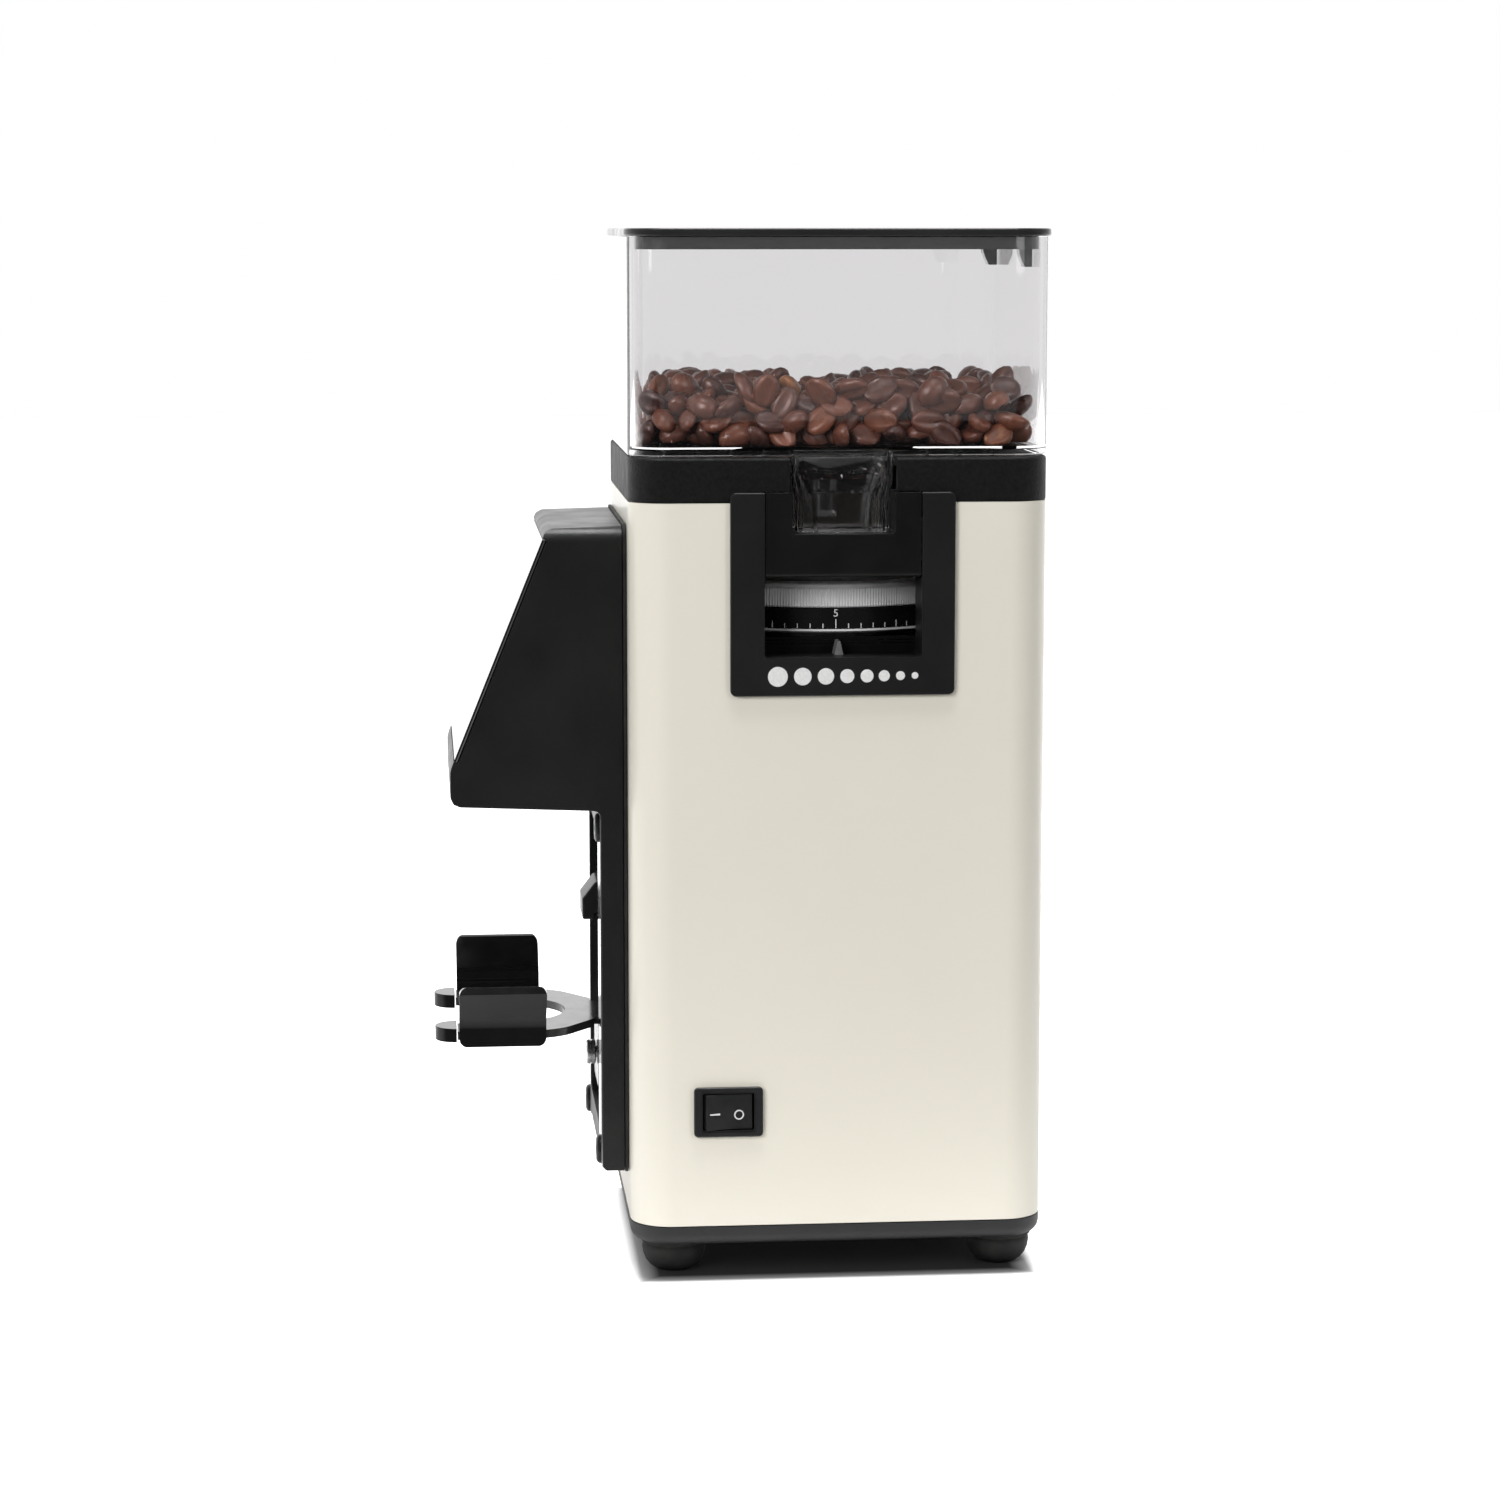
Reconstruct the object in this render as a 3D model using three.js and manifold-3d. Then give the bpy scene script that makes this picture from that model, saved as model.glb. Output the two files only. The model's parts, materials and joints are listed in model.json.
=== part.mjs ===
// Burr coffee grinder with a bean hopper, a side adjusting ring and a fork for the filter holder.
// Millimetres, +Z up. The front is -Y, the adjusting ring shows on the +X side, and the origin is the
// centre of the footprint on the table.
import * as THREE from 'three';
import { mergeVertices } from 'three/addons/utils/BufferGeometryUtils.js';
import Module from 'manifold-3d';

const wasm = await Module();
wasm.setup();

// ---- driving dimensions ----
const GAP = 0.3;
const BODY_W = 134;
const BODY_D = 142;
const BODY_FRONT = -38;
const BODY_R = 14;
const BODY_Y = BODY_FRONT + BODY_D / 2;
const SIDE = BODY_W / 2;
const SHEET = 1.5;

const FOOT_H = 13;
const BASE_TOP = 19.9;
const SHELL_TOP = 267.4;
const COLLAR_TOP = 282.3;
const HOPPER_TOP = 355.1;
const LID_TOP = 358;

const MOTOR = { shaft: 6, coreR: 24, statorIn: 24.8, statorOut: 46, z0: 86, z1: 146 };
const PLATE = { z0: 172.6, z1: 176.2 };
const CHAMBER = { r: 46, collarR: 42, bore: 36.2, z0: 176.5, floor: 183, shoulder: 219.5, top: 236 };
const BURR = { r: 29, hole: 18, split: 203.8, gap: 0.4, thick: 7.5 };
const RING = { r: 50.6, bore: 42.5, z0: 221.5, split: 230.2, z1: 238.3 };

const DIAL = { y0: -4.5, y1: 71.2, z0: 202.4, z1: 270.6, face: 69 };
const DIAL_WINDOW = { y0: 7, y1: 60, z0: 215.2, depth: 52 };
const BLOCK_Z0 = 242;
const LUG = { y0: 16.2, y1: 51, z0: 256.7 };

const COVER = { halfW: 48.5, back: -39.6, plate: -47.2, wall: 3 };
const HEAD = { top: 258.2, brow: [-65, 257.3], chin: [-97.8, 176.7], lip: -98.3, under: 162.9 };
const RECESS = { halfW: 31, y: -44.4, z0: 46.5, z1: 150.5 };
const SPOUT_Y = -80;

const FORK = { z0: 79.9, z1: 82.8, halfW: 36.5, slotR: 22, front: -96.5, back: -44.7 };
const CLAMP_Z = 67;
const SWITCH = { y: -5.2, z: 59.9, w: 23.6, h: 17.2, pivotX: 66.3, tilt: 9 };

// ---- colours ----
const CREAM = '#e4dfd3';
const BLACK = '#242424';
const RUBBER = '#1c1c1c';
const STEEL = '#b4b6b8';
const CAST = '#9fa2a5';
const COPPER = '#a8623a';
const CLEAR = '#d9d7dc';

// ---- small helpers ----
function finish(color, roughness, metalness = 0) {
  return new THREE.MeshStandardMaterial({ color, roughness, metalness });
}

/** A closed geometry as a manifold solid: shared corners merged, empty triangles dropped. */
function solid(geometry) {
  const bare = geometry.index ? geometry.toNonIndexed() : geometry.clone();
  bare.deleteAttribute('normal');
  bare.deleteAttribute('uv');
  const merged = mergeVertices(bare, 1e-3);
  const corners = merged.index.array;
  const kept = [];
  for (let i = 0; i < corners.length; i += 3) {
    const [a, b, c] = [corners[i], corners[i + 1], corners[i + 2]];
    if (a !== b && b !== c && c !== a) {
      kept.push(a, b, c);
    }
  }
  return new wasm.Manifold(new wasm.Mesh({
    numProp: 3,
    vertProperties: new Float32Array(merged.attributes.position.array),
    triVerts: new Uint32Array(kept),
  }));
}

function toGeometry(body) {
  const mesh = body.getMesh();
  const geometry = new THREE.BufferGeometry();
  geometry.setAttribute('position', new THREE.BufferAttribute(mesh.vertProperties, 3));
  geometry.setIndex(new THREE.BufferAttribute(mesh.triVerts, 1));
  geometry.computeVertexNormals();
  return geometry;
}

function box(x0, x1, y0, y1, z0, z1) {
  const geometry = new THREE.BoxGeometry(x1 - x0, y1 - y0, z1 - z0);
  return solid(geometry.translate((x0 + x1) / 2, (y0 + y1) / 2, (z0 + z1) / 2));
}

/** A solid of revolution about Z from [radius, z] points that start and end on the axis or close. */
function turned(points, segments = 28) {
  const profile = points.map(([r, z]) => new THREE.Vector2(r, z));
  if (THREE.ShapeUtils.area(profile) < 0) {
    profile.reverse();
  }
  return solid(new THREE.LatheGeometry(profile, segments).rotateX(Math.PI / 2));
}

function disc(r, z0, z1, segments = 28) {
  return turned([[0, z0], [r, z0], [r, z1], [0, z1]], segments);
}

function ring(inner, outer, z0, z1, segments = 28) {
  return turned([[inner, z0], [outer, z0], [outer, z1], [inner, z1], [inner, z0]], segments);
}

/** A rectangle with round corners, centred on (cx, cy). */
function roundedRect(width, depth, r, cx = 0, cy = 0) {
  const [x0, x1, y0, y1] = [cx - width / 2, cx + width / 2, cy - depth / 2, cy + depth / 2];
  const shape = new THREE.Shape();
  shape.moveTo(x0 + r, y0);
  shape.lineTo(x1 - r, y0);
  shape.absarc(x1 - r, y0 + r, r, -Math.PI / 2, 0, false);
  shape.lineTo(x1, y1 - r);
  shape.absarc(x1 - r, y1 - r, r, 0, Math.PI / 2, false);
  shape.lineTo(x0 + r, y1);
  shape.absarc(x0 + r, y1 - r, r, Math.PI / 2, Math.PI, false);
  shape.lineTo(x0, y0 + r);
  shape.absarc(x0 + r, y0 + r, r, Math.PI, Math.PI * 1.5, false);
  return shape;
}

function extruded(shape, depth, curveSegments = 4) {
  return new THREE.ExtrudeGeometry(shape, { depth, curveSegments, steps: 1, bevelEnabled: false });
}

/** An XY outline raised from z0 to z1. */
function prism(shape, z0, z1, curveSegments) {
  return solid(extruded(shape, z1 - z0, curveSegments).translate(0, 0, z0));
}

/** The body's own outline, drawn in by inset, from z0 to z1. */
function bodyPrism(inset, z0, z1) {
  const shape = roundedRect(BODY_W - 2 * inset, BODY_D - 2 * inset, Math.max(BODY_R - inset, 2), 0, BODY_Y);
  return prism(shape, z0, z1);
}

/** A YZ outline swept along X from x0 to x1. */
function sidePrism(shape, x0, x1, curveSegments) {
  const toSide = new THREE.Matrix4().makeBasis(
    new THREE.Vector3(0, 1, 0), new THREE.Vector3(0, 0, 1), new THREE.Vector3(1, 0, 0));
  return solid(extruded(shape, x1 - x0, curveSegments).applyMatrix4(toSide).translate(x0, 0, 0));
}

/** An XZ outline swept along Y from y0 to y1. */
function frontPrism(shape, y0, y1, curveSegments) {
  const toFront = new THREE.Matrix4().makeBasis(
    new THREE.Vector3(1, 0, 0), new THREE.Vector3(0, 0, 1), new THREE.Vector3(0, -1, 0));
  return solid(extruded(shape, y1 - y0, curveSegments).applyMatrix4(toFront).translate(0, y1, 0));
}

function polygon(points) {
  return new THREE.Shape(points.map(([a, b]) => new THREE.Vector2(a, b)));
}

function pinAlongY(r, y0, y1, x, z, segments = 12) {
  return disc(r, 0, y1 - y0, segments).rotate([-90, 0, 0]).translate([x, y0, z]);
}

const grinder = new THREE.Group();

/** Adds one named sub-part to a group, at a place. */
function add(name, body, material, place = [0, 0, 0], group = grinder) {
  const mesh = new THREE.Mesh(toGeometry(body), material);
  mesh.name = name;
  mesh.position.set(...place);
  group.add(mesh);
}

// ---- feet, base tray and housing ----
const FOOT_SPOTS = [[-45, -22.5], [45, -22.5], [-45, 91], [45, 91]];
const POST_SPOTS = [[-57, 12], [57, 12], [-57, 58], [57, 58]];
const SCREW_SPOTS = [[-39, 154], [39, 154], [-39, 41], [39, 41]];

function makeFeet() {
  const dome = turned([[0, 0], [6, 0], [9.6, 1.4], [11.5, 5], [11.5, 9], [10.6, 12.7], [0, 12.7]], 20);
  FOOT_SPOTS.forEach(([x, y], i) => {
    add(`foot_${i + 1}`, dome, finish(RUBBER, 0.7), [x, y, 0]);
  });
}

function makeBaseTray() {
  const bevel = 4;
  const outline = roundedRect(BODY_W, BODY_D, BODY_R, 0, BODY_Y);
  const rounded = new THREE.ExtrudeGeometry(outline, {
    depth: 8, curveSegments: 4, bevelEnabled: true, bevelSize: bevel, bevelThickness: bevel,
    bevelOffset: -bevel, bevelSegments: 2,
  }).translate(0, 0, FOOT_H + bevel);
  let tray = solid(rounded).intersect(box(-80, 80, -60, 120, FOOT_H, BASE_TOP - GAP));
  tray = tray.add(bodyPrism(SHEET + 0.4, BASE_TOP - 1, 26));
  tray = tray.subtract(bodyPrism(SHEET + 3.4, FOOT_H + 3, 40));
  tray = tray.subtract(disc(6.5, 0, 40, 16).translate([0, 84, 0]));
  add('base_tray', tray, finish(BLACK, 0.6));
}

function makeHousingShell() {
  let shell = bodyPrism(0, BASE_TOP, SHELL_TOP - GAP);
  shell = shell.subtract(bodyPrism(SHEET, 0, 300));
  shell = shell.subtract(box(50, 80, DIAL_WINDOW.y0 - 4.7, DIAL_WINDOW.y1 + 4.7, 208.5, 300));
  const switchHole = roundedRect(SWITCH.w - 3.4, SWITCH.h - 2, 1, SWITCH.y, SWITCH.z);
  shell = shell.subtract(sidePrism(switchHole, 50, 80, 2));
  shell = shell.subtract(box(-14, 14, -50, -30, 175, 205));
  shell = shell.subtract(box(-14.5, 14.5, -50, -30, 109, 137));
  for (const [x, z] of SCREW_SPOTS) {
    shell = shell.subtract(pinAlongY(2.6, -50, -30, x, z));
  }
  add('housing_shell', shell, finish(CREAM, 0.35));
}

function makeCordGland() {
  const gland = turned([[3.6, 8.5], [8, 8.5], [9, 9.5], [9, 12.7], [6.1, 12.7], [6.1, 19], [3.6, 19],
    [3.6, 8.5]], 16);
  add('cord_gland', gland, finish(RUBBER, 0.7), [0, 84, 0]);
}

// ---- front unit ----
function headOutline(inset) {
  const [browY, browZ] = HEAD.brow;
  const [chinY, chinZ] = HEAD.chin;
  if (inset === 0) {
    return polygon([[COVER.back, 35.3], [COVER.back, HEAD.top], [browY + 1.5, browZ + 0.1],
      [browY - 0.6, browZ - 1.2], [chinY, chinZ], [HEAD.lip, chinZ - 2], [HEAD.lip, HEAD.under + 3.3],
      [HEAD.lip + 1, HEAD.under + 1], [HEAD.lip + 3.3, HEAD.under], [COVER.plate, HEAD.under - 1.9],
      [COVER.plate, 36.6], [COVER.plate + 1.3, 35.3]]);
  }
  return polygon([[COVER.back + 1, 35.3 + inset], [COVER.back + 1, HEAD.top - inset],
    [browY + 2.2, browZ - inset], [chinY + inset + 0.2, chinZ], [HEAD.lip + inset, HEAD.under + inset],
    [COVER.plate + inset, HEAD.under + inset - 1.9], [COVER.plate + inset, 35.3 + inset]]);
}

const slopeLength = Math.hypot(HEAD.brow[0] - HEAD.chin[0], HEAD.brow[1] - HEAD.chin[1]);
const slopeTilt = Math.atan2(HEAD.brow[0] - HEAD.chin[0], HEAD.brow[1] - HEAD.chin[1]);
const slopeMiddle = [(HEAD.brow[0] + HEAD.chin[0]) / 2, (HEAD.brow[1] + HEAD.chin[1]) / 2];

/** A slab parallel to the sloping face: depths are measured inwards from the face. */
function slopeSlab(width, length, depth0, depth1) {
  const slab = box(-width / 2, width / 2, depth0, depth1, -length / 2, length / 2);
  return slab.rotate([-THREE.MathUtils.radToDeg(slopeTilt), 0, 0]).translate([0, ...slopeMiddle]);
}

function makeFrontUnit() {
  const { halfW, wall } = COVER;
  let cover = sidePrism(headOutline(0), -halfW, halfW);
  let cavity = sidePrism(headOutline(wall), -halfW + wall, halfW - wall);
  cavity = cavity.subtract(box(-RECESS.halfW - 2.5, RECESS.halfW + 2.5, -50, -42, 44, 153));
  cover = cover.subtract(cavity);
  cover = cover.subtract(box(-RECESS.halfW, RECESS.halfW, -60, RECESS.y, RECESS.z0, RECESS.z1));
  cover = cover.subtract(slopeSlab(2 * halfW - 4, slopeLength - 4, -3, 1.8));
  cover = cover.subtract(disc(15, 150, 180, 24).translate([0, SPOUT_Y, 0]));
  cover = cover.subtract(box(-4.5, 4.5, -50, -38, 52, 98));
  cover = cover.subtract(box(-10.6, 10.6, -50, -38, 115.8, 131));
  for (const [x, z] of SCREW_SPOTS) {
    cover = cover.subtract(pinAlongY(2.4, -60, -30, x, z));
  }
  add('front_cover', cover, finish(BLACK, 0.45));

  let gasket = frontPrism(roundedRect(99, 224.5, 4, 0, 146.75), -39.3, -38.3);
  gasket = gasket.subtract(frontPrism(roundedRect(68, 204, 4, 0, 148), -45, -30));
  for (const [x, z] of SCREW_SPOTS) {
    gasket = gasket.subtract(pinAlongY(2.4, -60, -30, x, z));
  }
  add('front_gasket', gasket, finish(RUBBER, 0.7));
  add('display_panel', slopeSlab(2 * halfW - 4.6, slopeLength - 4.6, 0.2, 1.5), finish('#111214', 0.1));
  add('control_board', slopeSlab(70, 42, 10, 11.6).translate([0, 0, 12]), finish('#1e5a34', 0.5));
  add('ground_chute', makeChute(), finish(STEEL, 0.3, 1));

  const screw = turned([[0, 0], [2, 0], [2, 16.8], [5, 16.8], [4.6, 17.5], [3, 18.2], [0, 18.5]], 12);
  SCREW_SPOTS.forEach(([x, z], i) => {
    add(`cover_screw_${i + 1}`, screw.rotate([90, 0, 0]), finish(BLACK, 0.4), [x, -30.5, z]);
  });

  let tripSwitch = box(-9, 9, -31.3, -19, 112, 130);
  for (const side of [-1, 1]) {
    tripSwitch = tripSwitch.add(box(16 * side - 1.2, 16 * side + 1.2, -36.2, -19, 114, 128));
  }
  tripSwitch = tripSwitch.add(box(-16, 16, -24, -19, 116, 126));
  add('microswitch', tripSwitch, finish('#2b2b2e', 0.5));
}

/** The bent tube from the grinding chamber to the hole under the head. */
function makeChute() {
  const tube = (r, start, end) => {
    const path = new THREE.CurvePath();
    const [entry, bend] = [new THREE.Vector3(0, start, 190), new THREE.Vector3(0, -56, 190)];
    const [drop, exit] = [new THREE.Vector3(0, SPOUT_Y, 176), new THREE.Vector3(0, SPOUT_Y, end)];
    path.add(new THREE.LineCurve3(entry, bend));
    path.add(new THREE.QuadraticBezierCurve3(bend, new THREE.Vector3(0, SPOUT_Y, 190), drop));
    path.add(new THREE.LineCurve3(drop, exit));
    const section = new THREE.Shape().absarc(0, 0, r, 0, Math.PI * 2, false);
    return solid(new THREE.ExtrudeGeometry(section, {
      steps: 10, curveSegments: 6, bevelEnabled: false, extrudePath: path,
    }));
  };
  return tube(11, -13.6, 162.8).subtract(tube(9.2, -10, 155));
}

function makeActivationTab() {
  const profile = polygon([[-36, 118.6], [-47.4, 118.6], [-47.4, 116.6], [-52, 116.6], [-52, 124],
    [-47.4, 130], [-36, 130]]);
  const tab = sidePrism(profile, -10, 10).add(box(-13, 13, -41.7, -40, 115, 132.5));
  add('activation_tab', tab, finish(BLACK, 0.45));
}

// ---- fork for the filter holder ----
function makeFork() {
  const { z0, z1, halfW, slotR, front, back } = FORK;
  const plate = new THREE.Shape();
  plate.moveTo(halfW, front);
  plate.lineTo(halfW, -62);
  plate.lineTo(18, -48.4);
  plate.lineTo(14, -48.4);
  plate.lineTo(14, back);
  plate.lineTo(-14, back);
  plate.lineTo(-14, -48.4);
  plate.lineTo(-18, -48.4);
  plate.lineTo(-halfW, -62);
  plate.lineTo(-halfW, front);
  plate.lineTo(-slotR, front);
  plate.lineTo(-slotR, SPOUT_Y);
  plate.absarc(0, SPOUT_Y, slotR, Math.PI, 0, true);
  plate.lineTo(slotR, front);
  let fork = prism(plate, z0, z1, 14);
  fork = fork.add(box(-14, 14, -46.9, back, 57, z1));
  fork = fork.subtract(pinAlongY(2.4, -60, -30, 0, CLAMP_Z));
  add('fork_plate', fork, finish(STEEL, 0.25, 1));

  const cheek = frontPrism(polygon([[36.9, 78], [40.2, 78], [40.3, 87], [51.2, 98.6], [49.4, 100.8],
    [47.8, 100.4], [37, 88.6]]), -96, -66);
  const tipShape = new THREE.Shape();
  tipShape.moveTo(slotR, -96.8);
  tipShape.lineTo(slotR, -97);
  tipShape.absarc((slotR + halfW) / 2, -97, (halfW - slotR) / 2, Math.PI, Math.PI * 2, false);
  tipShape.lineTo(halfW, -96.8);
  const tip = prism(tipShape, 79, 83.8, 8);
  for (const [side, label] of [[1, 'right'], [-1, 'left']]) {
    const mirrorX = (body) => (side === 1 ? body : body.mirror([1, 0, 0]));
    add(`fork_cheek_${label}`, mirrorX(cheek), finish(BLACK, 0.12));
    add(`fork_tip_${label}`, mirrorX(tip), finish(BLACK, 0.12));
  }

  let nut = box(-9, 9, -41.7, -39.7, CLAMP_Z - 8, CLAMP_Z + 8);
  nut = nut.subtract(pinAlongY(2.4, -60, -30, 0, CLAMP_Z));
  add('clamp_nut', nut, finish(STEEL, 0.4, 1));
  const screw = turned([[0, 0], [2, 0], [2, 7.3], [4.4, 7.3], [4.4, 10.1], [4, 10.6], [0, 10.6]], 16);
  add('thumb_screw', screw.rotate([90, 0, 0]), finish('#c9cacb', 0.25, 1), [0, -39.9, CLAMP_Z]);
}

// ---- power switch ----
function makePowerSwitch() {
  const { y, z, w, h, pivotX, tilt } = SWITCH;
  const well = sidePrism(roundedRect(17.6, 12.9, 0.6, y, z), 57.4, 80, 2);
  let body = sidePrism(roundedRect(w, h, 1.5, y, z), 67.3, 68.8, 3);
  body = body.add(sidePrism(roundedRect(w - 4.2, h - 2.8, 0.8, y, z), 44, 67.6, 2)).subtract(well);
  add('power_switch_body', body, finish(BLACK, 0.4));

  const reach = 8.3;
  const outline = new THREE.Shape();
  outline.moveTo(2.2, reach - 0.3);
  outline.lineTo(0, reach);
  outline.absarc(0, 0, reach, Math.PI / 2, Math.PI * 1.5, false);
  outline.lineTo(2.2, -reach + 0.3);
  outline.lineTo(1.4, 0);
  const rocker = prism(outline, -6.15, 6.15, 8).rotate([0, 0, tilt]);
  add('rocker', rocker, finish(BLACK, 0.35), [pivotX, y, z]);
}

// ---- dial surround, inner block and adjusting rings ----
function makeDial() {
  const { y0, y1, z0, z1, face } = DIAL;
  const win = DIAL_WINDOW;
  const middleY = (y0 + y1) / 2;
  let surround = sidePrism(roundedRect(y1 - y0, z1 - z0, 2, middleY, (z0 + z1) / 2), SIDE + GAP, face, 3);
  surround = surround.add(box(win.depth, SIDE + GAP + 0.2, win.y0 - 4.4, win.y1 + 4.4, 209, 241.5));
  surround = surround.subtract(box(win.depth - 10, face + 5, win.y0, win.y1, win.z0, 300));
  const scaleMiddle = (win.y0 + win.y1) / 2 - 0.5;
  surround = surround.add(box(win.depth, 60, scaleMiddle - 1, scaleMiddle + 1, win.z0 - 1, 219.8));
  add('dial_surround', surround, finish(BLACK, 0.5));

  let block = box(win.depth, 68.6, win.y0 + GAP, win.y1 - GAP, BLOCK_Z0, z1);
  block = block.subtract(box(win.depth - 10, 80, LUG.y0, LUG.y1, LUG.z0, 300));
  add('spout_block', block, finish(BLACK, 0.45));
}

function makeRings() {
  const { r, bore, z0, split, z1 } = RING;
  const axis = new THREE.Group();
  axis.position.set(0, BODY_Y, 0);
  grinder.add(axis);
  const knurled = ring(bore, r, split + 0.1, z1, 40).add(ring(40, r - 1, z1 - 1.2, z1, 40));
  add('knurled_ring', knurled, finish('#c2c2c2', 0.25, 1), [0, 0, 0], axis);
  const scale = turned([[bore, z0], [r - 2, z0], [r - 0.4, z0 + 1.4], [r - 0.4, split - 0.2],
    [bore, split - 0.2], [bore, z0]], 40);
  add('scale_ring', scale, finish('#2e2e2e', 0.3), [0, 0, 0], axis);
}

// ---- grinding chamber, burrs and motor ----
function makeChamber(axis) {
  const { r, collarR, bore, z0, floor, shoulder, top } = CHAMBER;
  let chamber = turned([[7, z0], [r, z0], [r, shoulder], [collarR, shoulder], [collarR, top], [bore, top],
    [bore, floor], [7, floor], [7, z0]], 36);
  chamber = chamber.subtract(box(-9.5, 9.5, -60, -25, floor, 198));
  add('grinding_chamber', chamber, finish(CAST, 0.5, 1), [0, 0, 0], axis);

  const lowerFace = BURR.split - BURR.gap / 2;
  const upperFace = BURR.split + BURR.gap / 2;
  const burrRing = ring(BURR.hole, BURR.r, 0, BURR.thick, 32);
  add('lower_burr', burrRing, finish(STEEL, 0.3, 1), [0, 0, lowerFace - BURR.thick], axis);
  add('upper_burr', burrRing, finish(STEEL, 0.3, 1), [0, 0, upperFace], axis);

  const carrierTop = lowerFace - BURR.thick - GAP;
  let carrier = ring(MOTOR.shaft + GAP, 33, 185.5, carrierTop, 28);
  for (const turn of [0, 120, 240]) {
    carrier = carrier.add(box(30, 35.2, -2, 2, 185.5, carrierTop).rotate([0, 0, turn + 30]));
  }
  add('lower_burr_carrier', carrier, finish(CAST, 0.5, 1), [0, 0, 0], axis);
  add('feed_nut', turned([[0, 201.3], [11, 201.3], [8, 207], [3.5, 212.5], [0, 213.5]], 16),
    finish(STEEL, 0.35, 1), [0, 0, 0], axis);

  const seat = upperFace + BURR.thick + GAP;
  const holder = turned([[18, seat], [BURR.r + 0.4, seat], [BURR.r + 0.4, seat - 5], [35.6, seat - 5],
    [35.6, 236.8], [39.3, 236.8], [39.3, 241], [25, 241], [18, 232], [18, seat]], 36);
  add('upper_burr_carrier', holder, finish(CAST, 0.45, 1), [0, 0, 0], axis);
}

function makeMotor(axis) {
  const { shaft, coreR, statorIn, statorOut, z0, z1 } = MOTOR;
  const shieldOut = statorOut + 1;
  add('motor_shaft', disc(shaft, 60, 201, 16), finish(STEEL, 0.3, 1), [0, 0, 0], axis);
  add('rotor_core', ring(shaft + 0.1, coreR, z0, z1), finish(CAST, 0.5, 1), [0, 0, 0], axis);
  add('stator_core', ring(statorIn, statorOut, z0, z1), finish('#77797c', 0.6, 1), [0, 0, 0], axis);

  const winding = turned([[28, 0], [40, 0], [41, 3], [40, 8], [37, 9.6], [31, 9.6], [28, 8], [27, 3],
    [28, 0]], 24);
  add('upper_winding', winding, finish(COPPER, 0.5, 0.6), [0, 0, z1 + GAP], axis);
  add('lower_winding', winding.mirror([0, 0, 1]), finish(COPPER, 0.5, 0.6), [0, 0, z0 - GAP], axis);

  const shield = turned([[14.3, 0], [14.3, 7.5], [9, 7.5], [9, 10], [20, 10], [20, 5], [43, 5], [43, 25.8],
    [shieldOut, 25.8], [shieldOut, 0], [14.3, 0]], 28);
  const bearing = ring(shaft + 0.2, 14, 0, 7, 20);
  add('lower_end_shield', shield, finish(CAST, 0.5, 1), [0, 0, z0 - GAP - 25.8], axis);
  add('upper_end_shield', shield.mirror([0, 0, 1]), finish(CAST, 0.5, 1), [0, 0, z1 + GAP + 25.8], axis);
  add('lower_bearing', bearing, finish(STEEL, 0.25, 1), [0, 0, z0 - 25.9], axis);
  add('upper_bearing', bearing, finish(STEEL, 0.25, 1), [0, 0, z1 + 18.9], axis);

  let fan = ring(shaft + 0.1, 12, 157.2, 161.4, 16);
  for (let blade = 0; blade < 8; blade += 1) {
    fan = fan.add(box(11, 38, -0.9, 0.9, 157.2, 161.4).rotate([0, 0, blade * 45]));
  }
  add('cooling_fan', fan, finish(BLACK, 0.5), [0, 0, 0], axis);
}

function makeInternals() {
  const axis = new THREE.Group();
  axis.position.set(0, BODY_Y, 0);
  grinder.add(axis);
  makeChamber(axis);
  makeMotor(axis);

  const rotorHole = disc(16, 100, 200, 24).translate([0, BODY_Y, 0]);
  let plate = bodyPrism(SHEET + 1, PLATE.z0, PLATE.z1).subtract(rotorHole);
  plate = plate.subtract(box(-20, 20, 84, 120, 100, 200));
  add('mounting_plate', plate, finish(STEEL, 0.45, 1));
  const post = disc(4.5, FOOT_H + 3 + GAP, PLATE.z0 - GAP, 12);
  POST_SPOTS.forEach(([x, y], i) => {
    add(`frame_post_${i + 1}`, post, finish(STEEL, 0.4, 1), [x, y, 0]);
  });
  const capacitor = turned([[0, 0], [13, 0], [14, 1], [14, 66], [12.6, 68], [0, 68]], 20);
  add('run_capacitor', capacitor, finish('#c9ccd0', 0.4), [-46, 84, FOOT_H + 3 + GAP]);
  let terminals = box(-18, 18, -6, 6, 0, 14);
  for (const slot of [-12, 0, 12]) {
    terminals = terminals.subtract(box(slot - 4, slot + 4, -3.5, 3.5, 8, 20));
  }
  add('terminal_block', terminals, finish('#e8e6df', 0.5), [38, 88, FOOT_H + 3 + GAP]);
}

// ---- neck collar, hopper and lid ----
const THROAT = { r: 22, bore: 19.5, z0: 244, mouth: 30 };

function makeCollar() {
  let collar = bodyPrism(0, SHELL_TOP, COLLAR_TOP - GAP).add(bodyPrism(SHEET + 0.4, 262, SHELL_TOP + 1));
  collar = collar.subtract(bodyPrism(SHEET + 3, 200, COLLAR_TOP - 3.3));
  collar = collar.subtract(disc(37, 200, 300).translate([0, BODY_Y, 0]));
  collar = collar.subtract(box(20, 80, LUG.y0 - 0.6, LUG.y1 + 0.8, 200, 300));
  collar = collar.subtract(box(49, 80, DIAL_WINDOW.y0 - 0.3, DIAL_WINDOW.y1 + 0.3, 200, DIAL.z1 + 0.4));
  add('neck_collar', collar, finish(BLACK, 0.65));
}

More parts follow.
